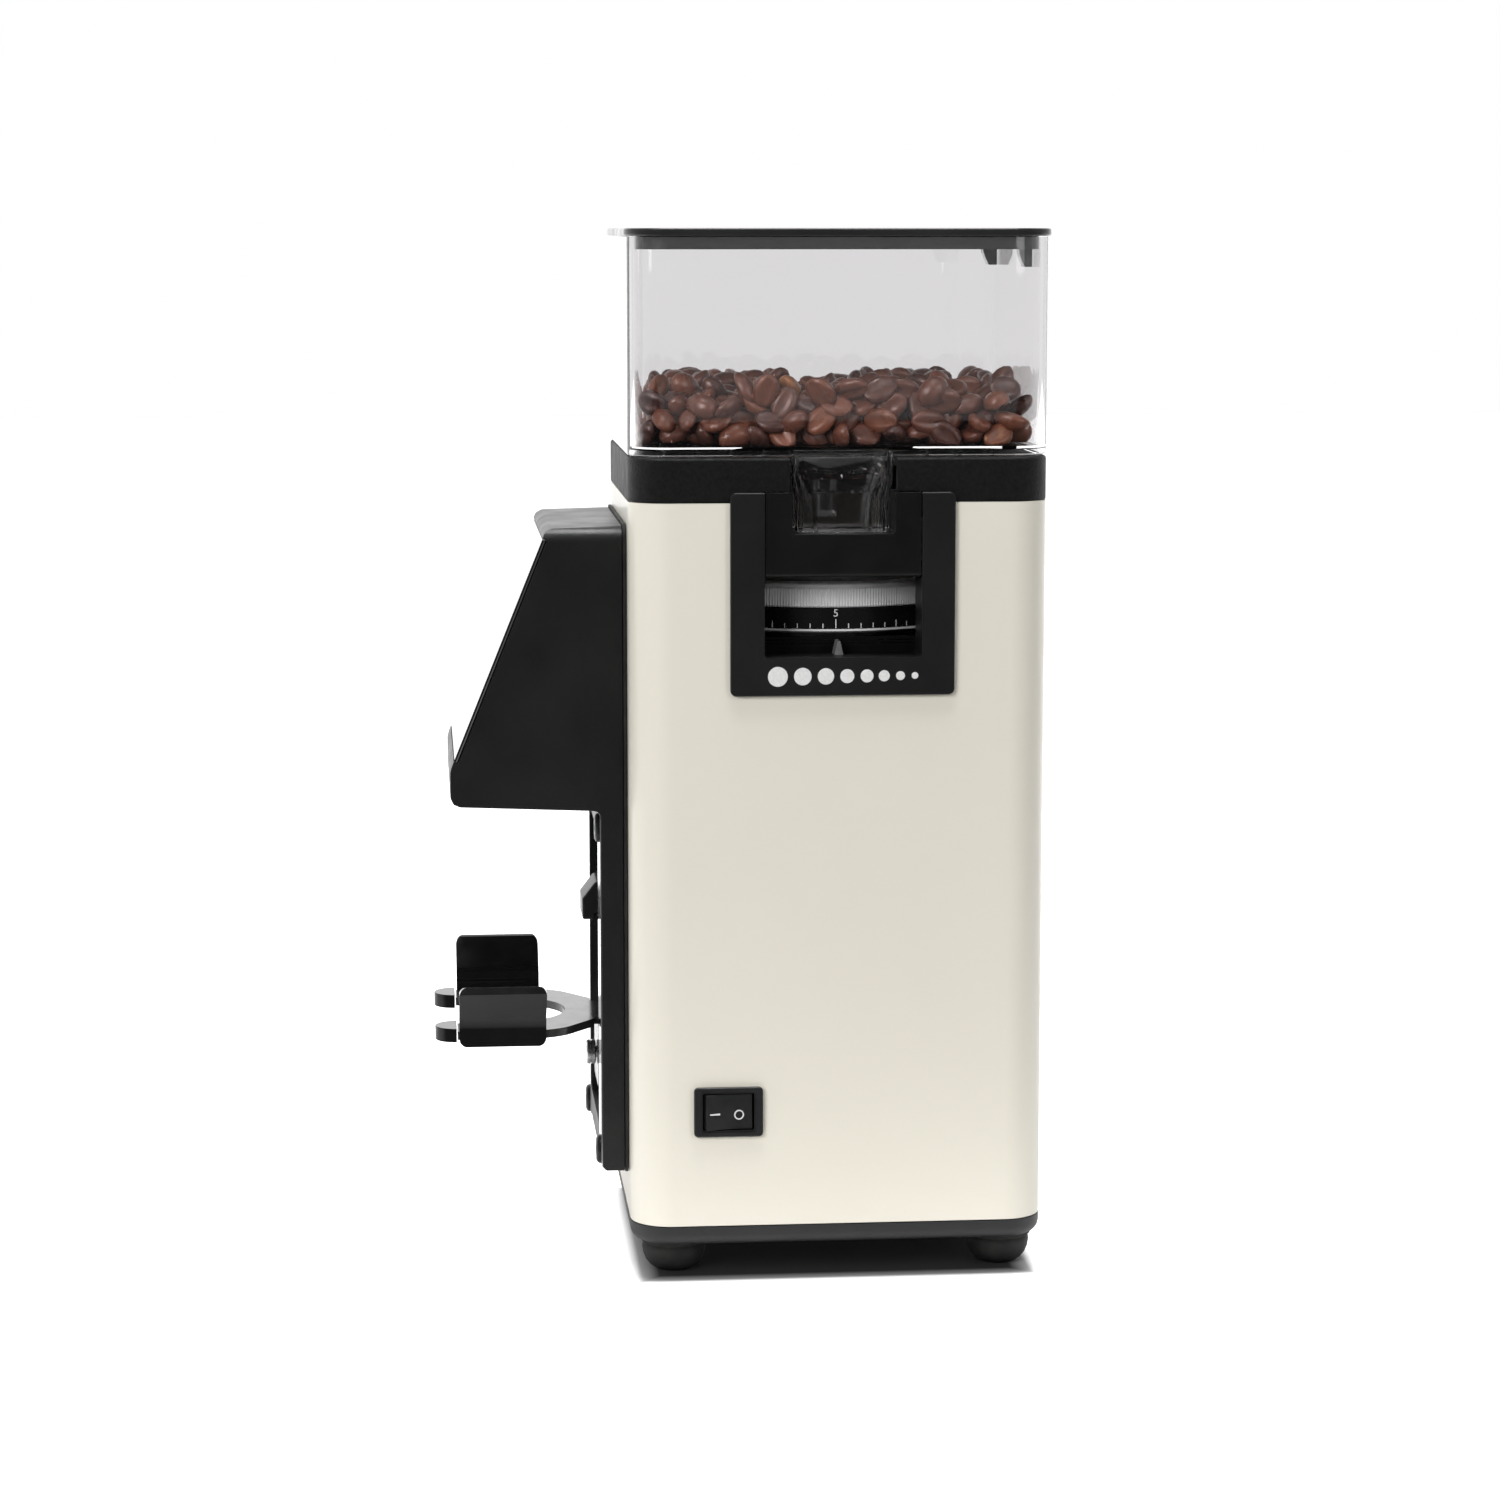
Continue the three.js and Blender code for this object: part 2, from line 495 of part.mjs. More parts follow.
function makeHopper() {
  const wall = 2.6;
  const floorTop = COLLAR_TOP + 3;
  const axis = [0, BODY_Y, 0];
  let hopper = bodyPrism(0, COLLAR_TOP, HOPPER_TOP).subtract(bodyPrism(wall, floorTop, 400));
  const funnel = [[THROAT.r, 272], [33, 282.6]];
  const throatOut = turned([[0, THROAT.z0], [THROAT.r, THROAT.z0], ...funnel, [0, 282.6]]);
  const throatIn = turned([[0, 200], [THROAT.bore, 200], [THROAT.bore, 275], [THROAT.mouth, floorTop],
    [THROAT.mouth, 290], [0, 290]]);
  let lug = box(52, SIDE, LUG.y0 + 0.4, LUG.y1 - 0.6, LUG.z0 + 0.4, COLLAR_TOP + 1);
  lug = lug.subtract(box(54, SIDE - 2, LUG.y0 + 2.4, LUG.y1 - 2.6, 200, COLLAR_TOP));
  hopper = hopper.add(throatOut.translate(axis)).add(lug).subtract(throatIn.translate(axis));
  add('hopper', hopper, finish(CLEAR, 0.1));
}

function makeLid() {
  const overhang = 1;
  const inset = 3.1;
  const outline = roundedRect(BODY_W + 2 * overhang, BODY_D + 2 * overhang, BODY_R + overhang, 0, BODY_Y);
  let lid = prism(outline, HOPPER_TOP + GAP, LID_TOP);
  const skirtInside = bodyPrism(inset + 2.5, 340, HOPPER_TOP + GAP);
  const skirt = bodyPrism(inset, 351, HOPPER_TOP + 1).subtract(skirtInside);
  lid = lid.add(skirt);
  const back = BODY_FRONT + BODY_D - inset;
  const hook = polygon([[back, 345], [back, 352], [back - 5, 352], [back - 5, 349.5], [back - 3, 345]]);
  for (const x of [-42, 42]) {
    lid = lid.add(sidePrism(hook, x - 3, x + 3));
  }
  add('lid', lid, finish('#2c2c2c', 0.35));
}

makeFeet();
makeBaseTray();
makeHousingShell();
makeCordGland();
makeFrontUnit();
makeActivationTab();
makeFork();
makePowerSwitch();
makeDial();
makeRings();
makeInternals();
makeCollar();
makeHopper();
makeLid();

export default grinder;
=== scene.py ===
import json
import math
import random

import bmesh
import bpy
from mathutils import Matrix, Vector


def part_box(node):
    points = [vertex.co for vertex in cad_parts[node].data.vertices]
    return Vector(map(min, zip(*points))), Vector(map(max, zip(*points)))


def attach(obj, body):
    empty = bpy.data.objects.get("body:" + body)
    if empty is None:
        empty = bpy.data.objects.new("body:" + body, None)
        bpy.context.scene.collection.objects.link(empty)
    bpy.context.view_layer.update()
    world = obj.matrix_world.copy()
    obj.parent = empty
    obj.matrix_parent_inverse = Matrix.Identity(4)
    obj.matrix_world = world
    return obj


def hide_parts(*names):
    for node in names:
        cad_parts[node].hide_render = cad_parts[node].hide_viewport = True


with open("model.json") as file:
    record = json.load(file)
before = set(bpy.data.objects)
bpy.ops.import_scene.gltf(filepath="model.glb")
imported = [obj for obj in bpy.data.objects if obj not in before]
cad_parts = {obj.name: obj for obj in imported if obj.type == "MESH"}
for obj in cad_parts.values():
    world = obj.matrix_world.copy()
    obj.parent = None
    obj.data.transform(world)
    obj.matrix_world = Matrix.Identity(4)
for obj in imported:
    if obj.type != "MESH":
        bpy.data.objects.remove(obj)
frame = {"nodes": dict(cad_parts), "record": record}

scene = bpy.context.scene
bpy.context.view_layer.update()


# ---- Camera ----
# A long lens at the height of the lid, looking at the side that carries the adjusting ring, from a
# little ahead of the machine's front.
camera = bpy.data.objects.new("camera", bpy.data.cameras.new("camera"))
scene.collection.objects.link(camera)
side_middle = Vector((0.067, 0.0022, 0.1841))
camera.location = (1.317, -0.1093, 0.3568)
camera.rotation_euler = (side_middle - camera.location).to_track_quat("-Z", "Y").to_euler()
camera.data.lens = 90.4
scene.camera = camera


# ---- Studio ----
# A plain white floor under a pale sky that is darker behind the camera, so that black mouldings stay
# black, with large soft panels to the front, the rear and above.
scene.view_settings.view_transform = "Standard"
world = bpy.data.worlds.new("studio")
scene.world = world
world.use_nodes = True


def reckon(tree, operation, a, b=0.0):
    """A maths node fed by sockets or numbers."""
    node = tree.nodes.new("ShaderNodeMath")
    node.operation = operation
    for socket, value in zip(node.inputs, (a, b)):
        if isinstance(value, float):
            socket.default_value = value
        else:
            tree.links.new(value, socket)
    return node.outputs[0]


def fade(tree, value, start, end, low, high):
    """Carries a value from one range to another and holds it at the ends."""
    node = tree.nodes.new("ShaderNodeMapRange")
    for name, number in (("From Min", start), ("From Max", end), ("To Min", low), ("To Max", high)):
        node.inputs[name].default_value = number
    tree.links.new(value, node.inputs["Value"])
    return node.outputs[0]


def ramp(tree, value, stops):
    """A colour ramp through (position, colour) stops."""
    node = tree.nodes.new("ShaderNodeValToRGB")
    for n, (spot, color) in enumerate(stops):
        stop = node.color_ramp.elements[n] if n < 2 else node.color_ramp.elements.new(spot)
        stop.position = spot
        stop.color = (*color, 1)
    tree.links.new(value, node.inputs["Fac"])
    return node.outputs["Color"]


air = world.node_tree
rays = air.nodes.new("ShaderNodeLightPath").outputs
way = air.nodes.new("ShaderNodeSeparateXYZ")
air.links.new(air.nodes.new("ShaderNodeTexCoord").outputs["Generated"], way.inputs[0])
brightness = ramp(air, fade(air, way.outputs["X"], -1, 1, 0, 1),
                  [(spot, (level, level, level)) for spot, level in ((0.0, 1.0), (0.3, 0.36), (0.85, 0.05))])
pick = air.nodes.new("ShaderNodeMix")
air.links.new(reckon(air, "MAXIMUM", rays["Is Camera Ray"], rays["Is Transmission Ray"]),
              pick.inputs["Factor"])
air.links.new(reckon(air, "MULTIPLY", brightness, fade(air, rays["Is Diffuse Ray"], 0, 1, 1.7, 1.1)),
              pick.inputs["A"])
air.links.new(fade(air, rays["Is Transmission Ray"], 0, 1, 1, 0.82), pick.inputs["B"])
air.links.new(pick.outputs[0], air.nodes["Background"].inputs["Strength"])
air.nodes["Background"].inputs["Color"].default_value = (1, 1, 1, 1)


def soft_panel(name, place, aim, size, watts, mirrored=True):
    lamp = bpy.data.lights.new(name, "AREA")
    lamp.size = size
    lamp.energy = watts
    obj = bpy.data.objects.new(name, lamp)
    scene.collection.objects.link(obj)
    obj.location = place
    obj.visible_glossy = mirrored
    obj.rotation_euler = (Vector(aim) - Vector(place)).to_track_quat("-Z", "Y").to_euler()


soft_panel("front_panel", (1.6, -1.2, 1.0), (0, 0, 0.2), 1.0, 30, False)
soft_panel("rear_panel", (1.6, 1.2, 0.8), (0, 0, 0.2), 1.0, 9, False)
soft_panel("top_panel", (0.14, 0.0, 1.7), (0, 0, 0.2), 0.8, 26)

bm = bmesh.new()
bmesh.ops.create_grid(bm, x_segments=1, y_segments=1, size=6)
floor_mesh = bpy.data.meshes.new("floor")
bm.to_mesh(floor_mesh)
bm.free()
floor = bpy.data.objects.new("floor", floor_mesh)
scene.collection.objects.link(floor)
floor_paint = bpy.data.materials.new("floor_white")
floor_paint.use_nodes = True
tree = floor_paint.node_tree
paint = tree.nodes["Principled BSDF"].inputs
paint["Roughness"].default_value = 0.9
paint["Emission Color"].default_value = (1, 1, 1, 1)
rays = tree.nodes.new("ShaderNodeLightPath").outputs
along = tree.nodes.new("ShaderNodeSeparateXYZ")
tree.links.new(tree.nodes.new("ShaderNodeTexCoord").outputs["Object"], along.inputs[0])
x, y = along.outputs["X"], along.outputs["Y"]
foot_x, foot_y, foot_middle = 0.067, 0.071, 0.033
# Painted shadow: under the housing's footprint the floor's colour turns nearly black and its glow for the
# camera stops, a painted contact shadow between the feet. Elsewhere the floor's colour darkens towards the
# camera so that it mirrors dark in the black parts, though the camera sees it white, and the floor glows in
# reflections behind the machine.
beside = reckon(tree, "SUBTRACT", reckon(tree, "ABSOLUTE", x), foot_x)
ahead = reckon(tree, "SUBTRACT", reckon(tree, "ABSOLUTE", reckon(tree, "SUBTRACT", y, foot_middle)), foot_y)
clear_of = reckon(tree, "MAXIMUM", beside, ahead)
looked_at = reckon(tree, "MULTIPLY", fade(tree, clear_of, -0.004, 0.001, 0, 1), rays["Is Camera Ray"])
mirrored = reckon(tree, "MULTIPLY", fade(tree, x, -0.7, -0.15, 1.1, 0), rays["Is Glossy Ray"])
tree.links.new(reckon(tree, "ADD", looked_at, mirrored), paint["Emission Strength"])
tree.links.new(reckon(tree, "MULTIPLY", fade(tree, x, 0.08, 0.24, 0.93, 0.08),
                      fade(tree, clear_of, -0.01, 0, 0.04, 1)), paint["Base Color"])
floor_mesh.materials.append(floor_paint)


# ---- Feet ----
# Four soft rubber domes moulded with a thin flange at the top, each held to the base tray by a screw
# from inside. The flat pad below grips the worktop.
def span(node):
    """Lowest and highest corners of a CAD node, in millimetres."""
    low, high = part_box(node)
    return low * 1000, high * 1000


def put(bm, spot, degrees=0, axis="X"):
    """Turns a shape about an axis through the origin, then moves it to a spot."""
    bmesh.ops.rotate(bm, matrix=Matrix.Rotation(math.radians(degrees), 3, axis), verts=bm.verts)
    bmesh.ops.translate(bm, vec=spot, verts=bm.verts)
    return bm


def turned(points, place=(0, 0, 0), steps=48):
    """Spins a closed run of (radius, height) points about the vertical through place."""
    bm = bmesh.new()
    ring = [bm.verts.new((r, 0, z)) for r, z in points]
    edges = [bm.edges.new(pair) for pair in zip(ring, ring[1:])]
    if points[0][0] > 0:
        edges.append(bm.edges.new((ring[-1], ring[0])))
    bmesh.ops.spin(bm, geom=ring + edges, cent=(0, 0, 0), axis=(0, 0, 1), angle=math.tau, steps=steps,
                   use_merge=True)
    bmesh.ops.remove_doubles(bm, verts=bm.verts, dist=0.001)
    bmesh.ops.recalc_face_normals(bm, faces=bm.faces)
    return put(bm, place)


def make(name, bm, body, material, stands_for=(), crease=35):
    """Makes a bmesh in millimetres a finished piece in metres that rides on a body."""
    bmesh.ops.scale(bm, vec=(0.001, 0.001, 0.001), verts=bm.verts)
    mesh = bpy.data.meshes.new(name)
    bm.to_mesh(mesh)
    bm.free()
    mesh.polygons.foreach_set("use_smooth", [True] * len(mesh.polygons))
    mesh.set_sharp_from_angle(angle=math.radians(crease))
    piece = bpy.data.objects.new(name, mesh)
    scene.collection.objects.link(piece)
    mesh.materials.append(material)
    even = piece.modifiers.new("even_shading", "WEIGHTED_NORMAL")
    even.keep_sharp = True
    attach(piece, body)
    if stands_for:
        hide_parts(*stands_for)
    return piece


def noise(tree, size, detail, stretch=(1, 1, 1)):
    """Noise fixed to the object, of about size millimetres."""
    place = tree.nodes.new("ShaderNodeTexCoord")
    turn = tree.nodes.new("ShaderNodeMapping")
    turn.inputs["Scale"].default_value = stretch
    cloud = tree.nodes.new("ShaderNodeTexNoise")
    cloud.inputs["Scale"].default_value = 1000 / size
    cloud.inputs["Detail"].default_value = detail
    tree.links.new(place.outputs["Object"], turn.inputs["Vector"])
    tree.links.new(turn.outputs["Vector"], cloud.inputs["Vector"])
    return cloud.outputs["Fac"]


def finish(name, dark, light, drift, rough, grained=None, metallic=0.0, specular=0.5):
    """A material whose colour drifts between two tones with noise of about drift millimetres.

    rough is one value, or (low, high, millimetres) for a roughness that drifts too. grained is the
    (millimetres, depth, strength, stretch) of a fine bump. A tone given as one number is grey.
    """
    material = bpy.data.materials.new(name)
    material.use_nodes = True
    tree = material.node_tree
    inputs = tree.nodes["Principled BSDF"].inputs
    inputs["Metallic"].default_value = metallic
    inputs["Specular IOR Level"].default_value = specular
    dark, light = (tone if isinstance(tone, tuple) else (tone, tone, tone) for tone in (dark, light))
    inputs["Base Color"].default_value = (*((a + b) / 2 for a, b in zip(dark, light)), 1)
    tree.links.new(ramp(tree, noise(tree, drift, 3), [(0.3, dark), (0.7, light)]), inputs["Base Color"])
    if isinstance(rough, tuple):
        low, high, size = rough
        inputs["Roughness"].default_value = (low + high) / 2
        tree.links.new(fade(tree, noise(tree, size, 4), 0.3, 0.7, low, high), inputs["Roughness"])
    else:
        inputs["Roughness"].default_value = rough
    if grained:
        size, depth, strength, *stretch = grained
        bump = tree.nodes.new("ShaderNodeBump")
        bump.inputs["Strength"].default_value = strength
        bump.inputs["Distance"].default_value = depth / 1000
        tree.links.new(noise(tree, size, 2, *stretch), bump.inputs["Height"])
        tree.links.new(bump.outputs["Normal"], inputs["Normal"])
    return material


rubber = finish("rubber", 0.011, (0.02, 0.02, 0.019), 6, (0.6, 0.8, 8), (0.5, 0.05, 0.4))
foot_profile = [(0, 0), (5.0, 0), (6.6, 0.4), (8.4, 1.6), (9.8, 3.4), (10.7, 5.6), (11.0, 7.6), (10.9, 8.8),
                (10.5, 9.3), (10.5, 9.7), (11.5, 10.2), (11.5, 12.1), (11.1, 12.7), (0, 12.7)]
for number in range(1, 5):
    low, high = span(f"foot_{number}")
    middle = (low + high) / 2
    make(f"rubber_foot_{number}", turned(foot_profile, (middle.x, middle.y, 0)), "housing", rubber,
         [f"foot_{number}"])


# ---- Base tray and cord gland ----
# A black moulded tray that closes the bottom of the housing. Its lower edge is well rounded, its
# underside has cooling slots, and the rubber gland for the mains cord sits at its rear.
def block(low, high):
    bm = bmesh.new()
    bmesh.ops.create_cube(bm, size=1)
    low, high = Vector(low), Vector(high)
    bmesh.ops.scale(bm, vec=high - low, verts=bm.verts)
    bmesh.ops.translate(bm, vec=(low + high) / 2, verts=bm.verts)
    return bm


def rim(bm, *tests):
    """The edges of which both ends pass one of the tests of their place."""
    return [e for e in bm.edges if any(all(test(v.co) for v in e.verts) for test in tests)]


def bevel(bm, edges, radius, segments):
    bmesh.ops.bevel(bm, geom=edges, offset=radius, offset_type="OFFSET", segments=segments, profile=0.5,
                    affect="EDGES", clamp_overlap=True, material=-1)


def round_along(bm, axis, radius, segments=8):
    """Rounds the edges that run along one axis."""
    along = [e for e in bm.edges
             if abs((e.verts[1].co - e.verts[0].co).normalized()[axis]) > 0.999]
    bevel(bm, along, radius, segments)
    return bm


def soften(bm, radius, segments=2, sharper=40):
    """Rounds every edge that is sharper than an angle in degrees."""
    bmesh.ops.dissolve_limit(bm, angle_limit=math.radians(0.5), verts=bm.verts, edges=bm.edges)
    bevel(bm, [e for e in bm.edges if e.calc_face_angle(0) > math.radians(sharper)], radius, segments)
    return bm


def merge(bm, tools, operation):
    """Joins or cuts solids with an exact boolean and gives back the result."""
    def holder(shape):
        mesh = bpy.data.meshes.new("tool")
        shape.to_mesh(mesh)
        shape.free()
        obj = bpy.data.objects.new("tool", mesh)
        scene.collection.objects.link(obj)
        return obj
    base = holder(bm)
    helpers = [holder(tool) for tool in tools]
    for helper in helpers:
        change = base.modifiers.new("change", "BOOLEAN")
        change.operation = operation
        change.solver = "EXACT"
        change.object = helper
    bpy.context.view_layer.update()
    result = bmesh.new()
    result.from_object(base, bpy.context.evaluated_depsgraph_get())
    for obj in (base, *helpers):
        mesh = obj.data
        bpy.data.objects.remove(obj)
        bpy.data.meshes.remove(mesh)
    return result


def carve(bm, *tools):
    return merge(bm, tools, "DIFFERENCE")


def join(bm, *tools):
    return merge(bm, tools, "UNION")


body_radius = 14
black_plastic = finish("black_plastic", (0.014, 0.014, 0.015), (0.02, 0.02, 0.021), 30, 0.42,
                       (0.55, 0.05, 0.5))
low, high = span("base_tray")
tray_top = span("housing_shell")[0].z - 0.3
tray = round_along(block(low, (high.x, high.y, tray_top)), 2, body_radius, 10)
bevel(tray, rim(tray, lambda p: p.z < low.z + 0.01), 4, 5)
slots = [block((x - 1.5, 15, low.z - 1), (x + 1.5, 55, low.z + 2.5)) for x in range(-30, 31, 10)]
tray = carve(tray, *slots)
make("moulded_base_tray", tray, "housing", black_plastic, ["base_tray"])

gland_low, gland_high = span("cord_gland")
gland_middle = (gland_low + gland_high) / 2
gland_profile = [(3.6, 8.5), (7.6, 8.5), (8.0, 8.9), (8.0, 9.4), (9.0, 9.8), (9.0, 12.7), (6.1, 12.7),
                 (6.1, 19.0), (3.6, 19.0)]
make("rubber_cord_gland", turned(gland_profile, (gland_middle.x, gland_middle.y, 0)), "housing", rubber,
     ["cord_gland"])


# ---- Housing ----
# One wrapped sheet of 1.5 mm steel with rounded vertical corners, powder coated in warm cream with a
# very slight orange peel. It is cut out for the dial, the switch and the front unit.
cream = finish("cream_powder_coat", (0.82, 0.782, 0.682), (0.84, 0.802, 0.702), 90, (0.3, 0.37, 25),
               (1.6, 0.03, 0.25))
lacquer = cream.node_tree.nodes["Principled BSDF"].inputs
lacquer["Coat Weight"].default_value = 0.25
lacquer["Coat Roughness"].default_value = 0.12
low, high = span("housing_shell")
sheet = 1.5
inner_low = low + Vector((sheet, sheet, -5))
inner_high = high + Vector((-sheet, -sheet, 5))
shell = round_along(block(low, high), 2, body_radius, 14)
hollow = round_along(block(inner_low, inner_high), 2, body_radius - sheet, 14)
dial_low, dial_high = span("dial_surround")
switch_low, switch_high = span("power_switch_body")
before, beyond = high.x - 9, high.x + 9
openings = [
    hollow,
    block((before, dial_low.y + 6.8, dial_low.z + 6.1), (beyond, dial_high.y - 6.5, high.z + 5)),
    block((before, switch_low.y + 1.7, switch_low.z + 1), (beyond, switch_high.y - 1.7, switch_high.z - 1)),
    block((-14, low.y - 9, 175), (14, low.y + 9, 205)),
    block((-14.5, low.y - 9, 109), (14.5, low.y + 9, 137)),
]
shell = soften(carve(shell, *openings), 0.35, 2)
make("sheet_housing", shell, "housing", cream, ["housing_shell"])


# ---- Front unit ----
# A black moulding with a sloping head over a tall plate, on a soft foam gasket. The slope holds a glossy
# display window, and the plate has a channel for the fork. Its ends and corners are well rounded.
def prism(points, low, high, axis):
    """Sweeps a closed outline along one axis: (y, z) points along X, (x, z) along Y, (x, y) along Z."""
    bm = bmesh.new()
    spots = {0: lambda a, b: (low, a, b), 1: lambda a, b: (a, low, b), 2: lambda a, b: (a, b, low)}
    face = bm.faces.new([bm.verts.new(spots[axis](a, b)) for a, b in points])
    swept = bmesh.ops.extrude_face_region(bm, geom=[face])
    shift = Vector((0, 0, 0))
    shift[axis] = high - low
    bmesh.ops.translate(bm, vec=shift, verts=[v for v in swept["geom"] if isinstance(v, bmesh.types.BMVert)])
    bmesh.ops.recalc_face_normals(bm, faces=bm.faces)
    return bm


def edge_at(bm, axis, *spots, reach=0.6):
    """The edges along one axis that pass within reach of the given points of the other two axes."""
    other = [i for i in range(3) if i != axis]
    found = []
    for edge in bm.edges:
        a, b = (v.co for v in edge.verts)
        if abs((b - a).normalized()[axis]) < 0.999:
            continue
        for spot in spots:
            if all(abs(a[i] - spot[n]) < reach for n, i in enumerate(other)):
                found.append(edge)
    return found


textured_black = finish("textured_black_moulding", (0.008, 0.008, 0.0085), 0.012, 25, (0.36, 0.46, 12),
                        (0.9, 0.1, 0.7))

low, high = span("front_cover")
slope_top, slope_foot = Vector((-65.6, 256.1)), Vector((-97.8, 176.7))
cover_outline = [(high.y, low.z), (high.y, high.z), (-63.5, 257.4), tuple(slope_top), tuple(slope_foot),
                 (low.y, 174.7), (low.y, 166.2), (-97.3, 163.9), (-95.0, 162.9), (-47.2, 161.0),
                 (-47.2, 36.6), (-45.9, low.z)]
cover = prism(cover_outline, low.x, high.x, 0)
bevel(cover, edge_at(cover, 0, (-47.2, 161.0)), 2.5, 4)
side_loops = [e for e in cover.edges
              if all(abs(abs(v.co.x) - high.x) < 0.01 for v in e.verts)
              and not all(abs(v.co.y - high.y) < 0.01 for v in e.verts)]
bevel(cover, side_loops, 1.5, 4)
run = (slope_foot - slope_top).normalized()
out = Vector((run.y, -run.x))
if out.x > 0:
    out = -out


def on_slope(along, depth):
    """A (y, z) point at a distance down the slope and a depth under its face."""
    spot = slope_top + run * along - out * depth
    return (spot.x, spot.y)


slope_length = (slope_foot - slope_top).length


def slope_slab(width, length, top, bottom):
    """A slab parallel to the slope and centred on it, between two depths under its face."""
    start, end = (slope_length - length) / 2, (slope_length + length) / 2
    return prism([on_slope(start, top), on_slope(end, top), on_slope(end, bottom), on_slope(start, bottom)],
                 -width / 2, width / 2, 0)


def pin(radius, start, end, x, z, steps=32):
    """A round pin along Y."""
    return put(turned([(0, start), (radius, start), (radius, end), (0, end)], steps=steps), (x, 0, z), -90)


wall, seat_depth, round_by = 3, 1.7, 5.6
cavity = carve(prism([(high.y + 9, 38.5), (high.y + 9, 254.9), (-63.6, 254.4), (-94.8, 176.5),
                      (-95.3, 174.4), (-95.3, 166.4), (-94.3, 165.9), (-44.2, 163.9), (-44.2, 38.5)],
                     low.x + wall, high.x - wall, 0),
               block((-33.5, -50, 44), (33.5, -42, 153)))
screw_spots = [span(f"cover_screw_{n}") for n in range(1, 5)]
screw_spots = [((a.x + b.x) / 2, (a.z + b.z) / 2) for a, b in screw_spots]
cuts = [
    cavity,
    round_along(block((-31, -70, 46.5), (31, -44.4, 150.5)), 1, 4, 6),
    slope_slab(2 * high.x + 6, slope_length - 4, -3, seat_depth),
    turned([(0, 150), (15, 150), (15, 180), (0, 180)], (0, -80, 0)),
    round_along(block((-4.5, -60, 52), (4.5, -36, 98)), 1, 4.4, 6),
    round_along(block((-10.6, -60, 115.8), (10.6, -36, 131)), 1, 1.5, 4),
    *[pin(2.4, -60, -30, x, z) for x, z in screw_spots],
]
for side in (1, -1):
    centre = Vector((high.x - round_by, high.z - round_by))
    arc = [(side * (centre.x + round_by * math.sin(math.pi * k / 20)),
            centre.y + round_by * math.cos(math.pi * k / 20)) for k in range(11)]
    cuts.append(prism([*arc, (side * (high.x + 3), centre.y), (side * (high.x + 3), high.z + 3),
                       (side * centre.x, high.z + 3)], -90, high.y + 1, 1))
cover = carve(cover, *cuts)


def on_ledge(p):
    """Whether a point is on a side face and as deep under the slope as the window's seat."""
    under = -(Vector((p.y, p.z)) - slope_top).dot(out)
    return abs(abs(p.x) - high.x) < 0.01 and abs(under - seat_depth) < 0.05


bevel(cover, rim(cover, on_ledge), 0.9, 4)
make("head_and_plate", cover, "housing", textured_black, ["front_cover"], 30)

# A polished steel facing is stuck to the plate on both sides of the channel and folded into it.
polished = finish("polished_steel", (0.77, 0.77, 0.78), (0.84, 0.84, 0.85), 20, (0.07, 0.14, 12),
                  (0.3, 0.003, 0.2, (1, 1, 0.1)), 1.0)
for side, label in ((1, "right"), (-1, "left")):
    near, far = sorted((side * 31.6, side * 48.2))
    facing = round_along(block((near, -47.55, 36.5), (far, -47.2, 159.5)), 1, 1.5, 4)
    fold_from, fold_to = sorted((side * 31.6, side * 31.35))
    facing = join(facing, block((fold_from, -47.5, 37.6), (fold_to, -44, 158)))
    holes = [pin(5.3, -60, -30, x, z) for x, z in screw_spots if x * side > 0]
    make(f"plate_facing_{label}", carve(facing, *holes), "housing", polished)

gasket_low, gasket_high = span("front_gasket")
gasket = round_along(block(gasket_low, gasket_high), 1, 4, 6)
opening = round_along(block((-34, -45, 46), (34, -30, 250)), 1, 4, 6)
gasket = carve(gasket, opening, *[pin(2.4, -60, -30, x, z) for x, z in screw_spots])
make("foam_gasket", gasket, "housing", rubber, ["front_gasket"])


# ---- Display window and control board ----
# A tinted, mirror-smooth acrylic window stuck on the slope, with a fine bright band set into its edge. The
# green board with the display stands behind it.
gloss_black = finish("gloss_black_acrylic", (0.005, 0.005, 0.006), (0.009, 0.009, 0.01), 60,
                     (0.025, 0.06, 40), specular=0.28)
gloss_black.node_tree.nodes["Principled BSDF"].inputs["IOR"].default_value = 1.6
window = soften(slope_slab(93.6, slope_length - 4.8, 0.1, 1.68), 0.25, 3)
make("display_window", window, "housing", gloss_black, ["display_panel"])
trim = carve(slope_slab(94.2, slope_length - 4.4, 0.75, 1.15), slope_slab(93.0, slope_length - 5.4, -2, 3))
make("display_trim", trim, "housing", polished)

board_green = finish("board_green", (0.008, 0.08, 0.028), (0.016, 0.115, 0.045), 3, 0.45, (0.8, 0.04, 0.5))
board = put(slope_slab(70, 42, 10, 11.6), (0, 0, 12))
make("green_control_board", soften(board, 0.25, 2), "housing", board_green, ["control_board"])


# ---- Ground coffee chute ----
# A bent stainless tube, flared and deburred at its mouth, that carries the grounds from the chamber down
# through the hole under the head.
steel = finish("brushed_steel", (0.58, 0.58, 0.59), (0.68, 0.68, 0.69), 14, (0.18, 0.32, 5),
               (0.35, 0.012, 0.3, (1, 1, 8)), 1.0)


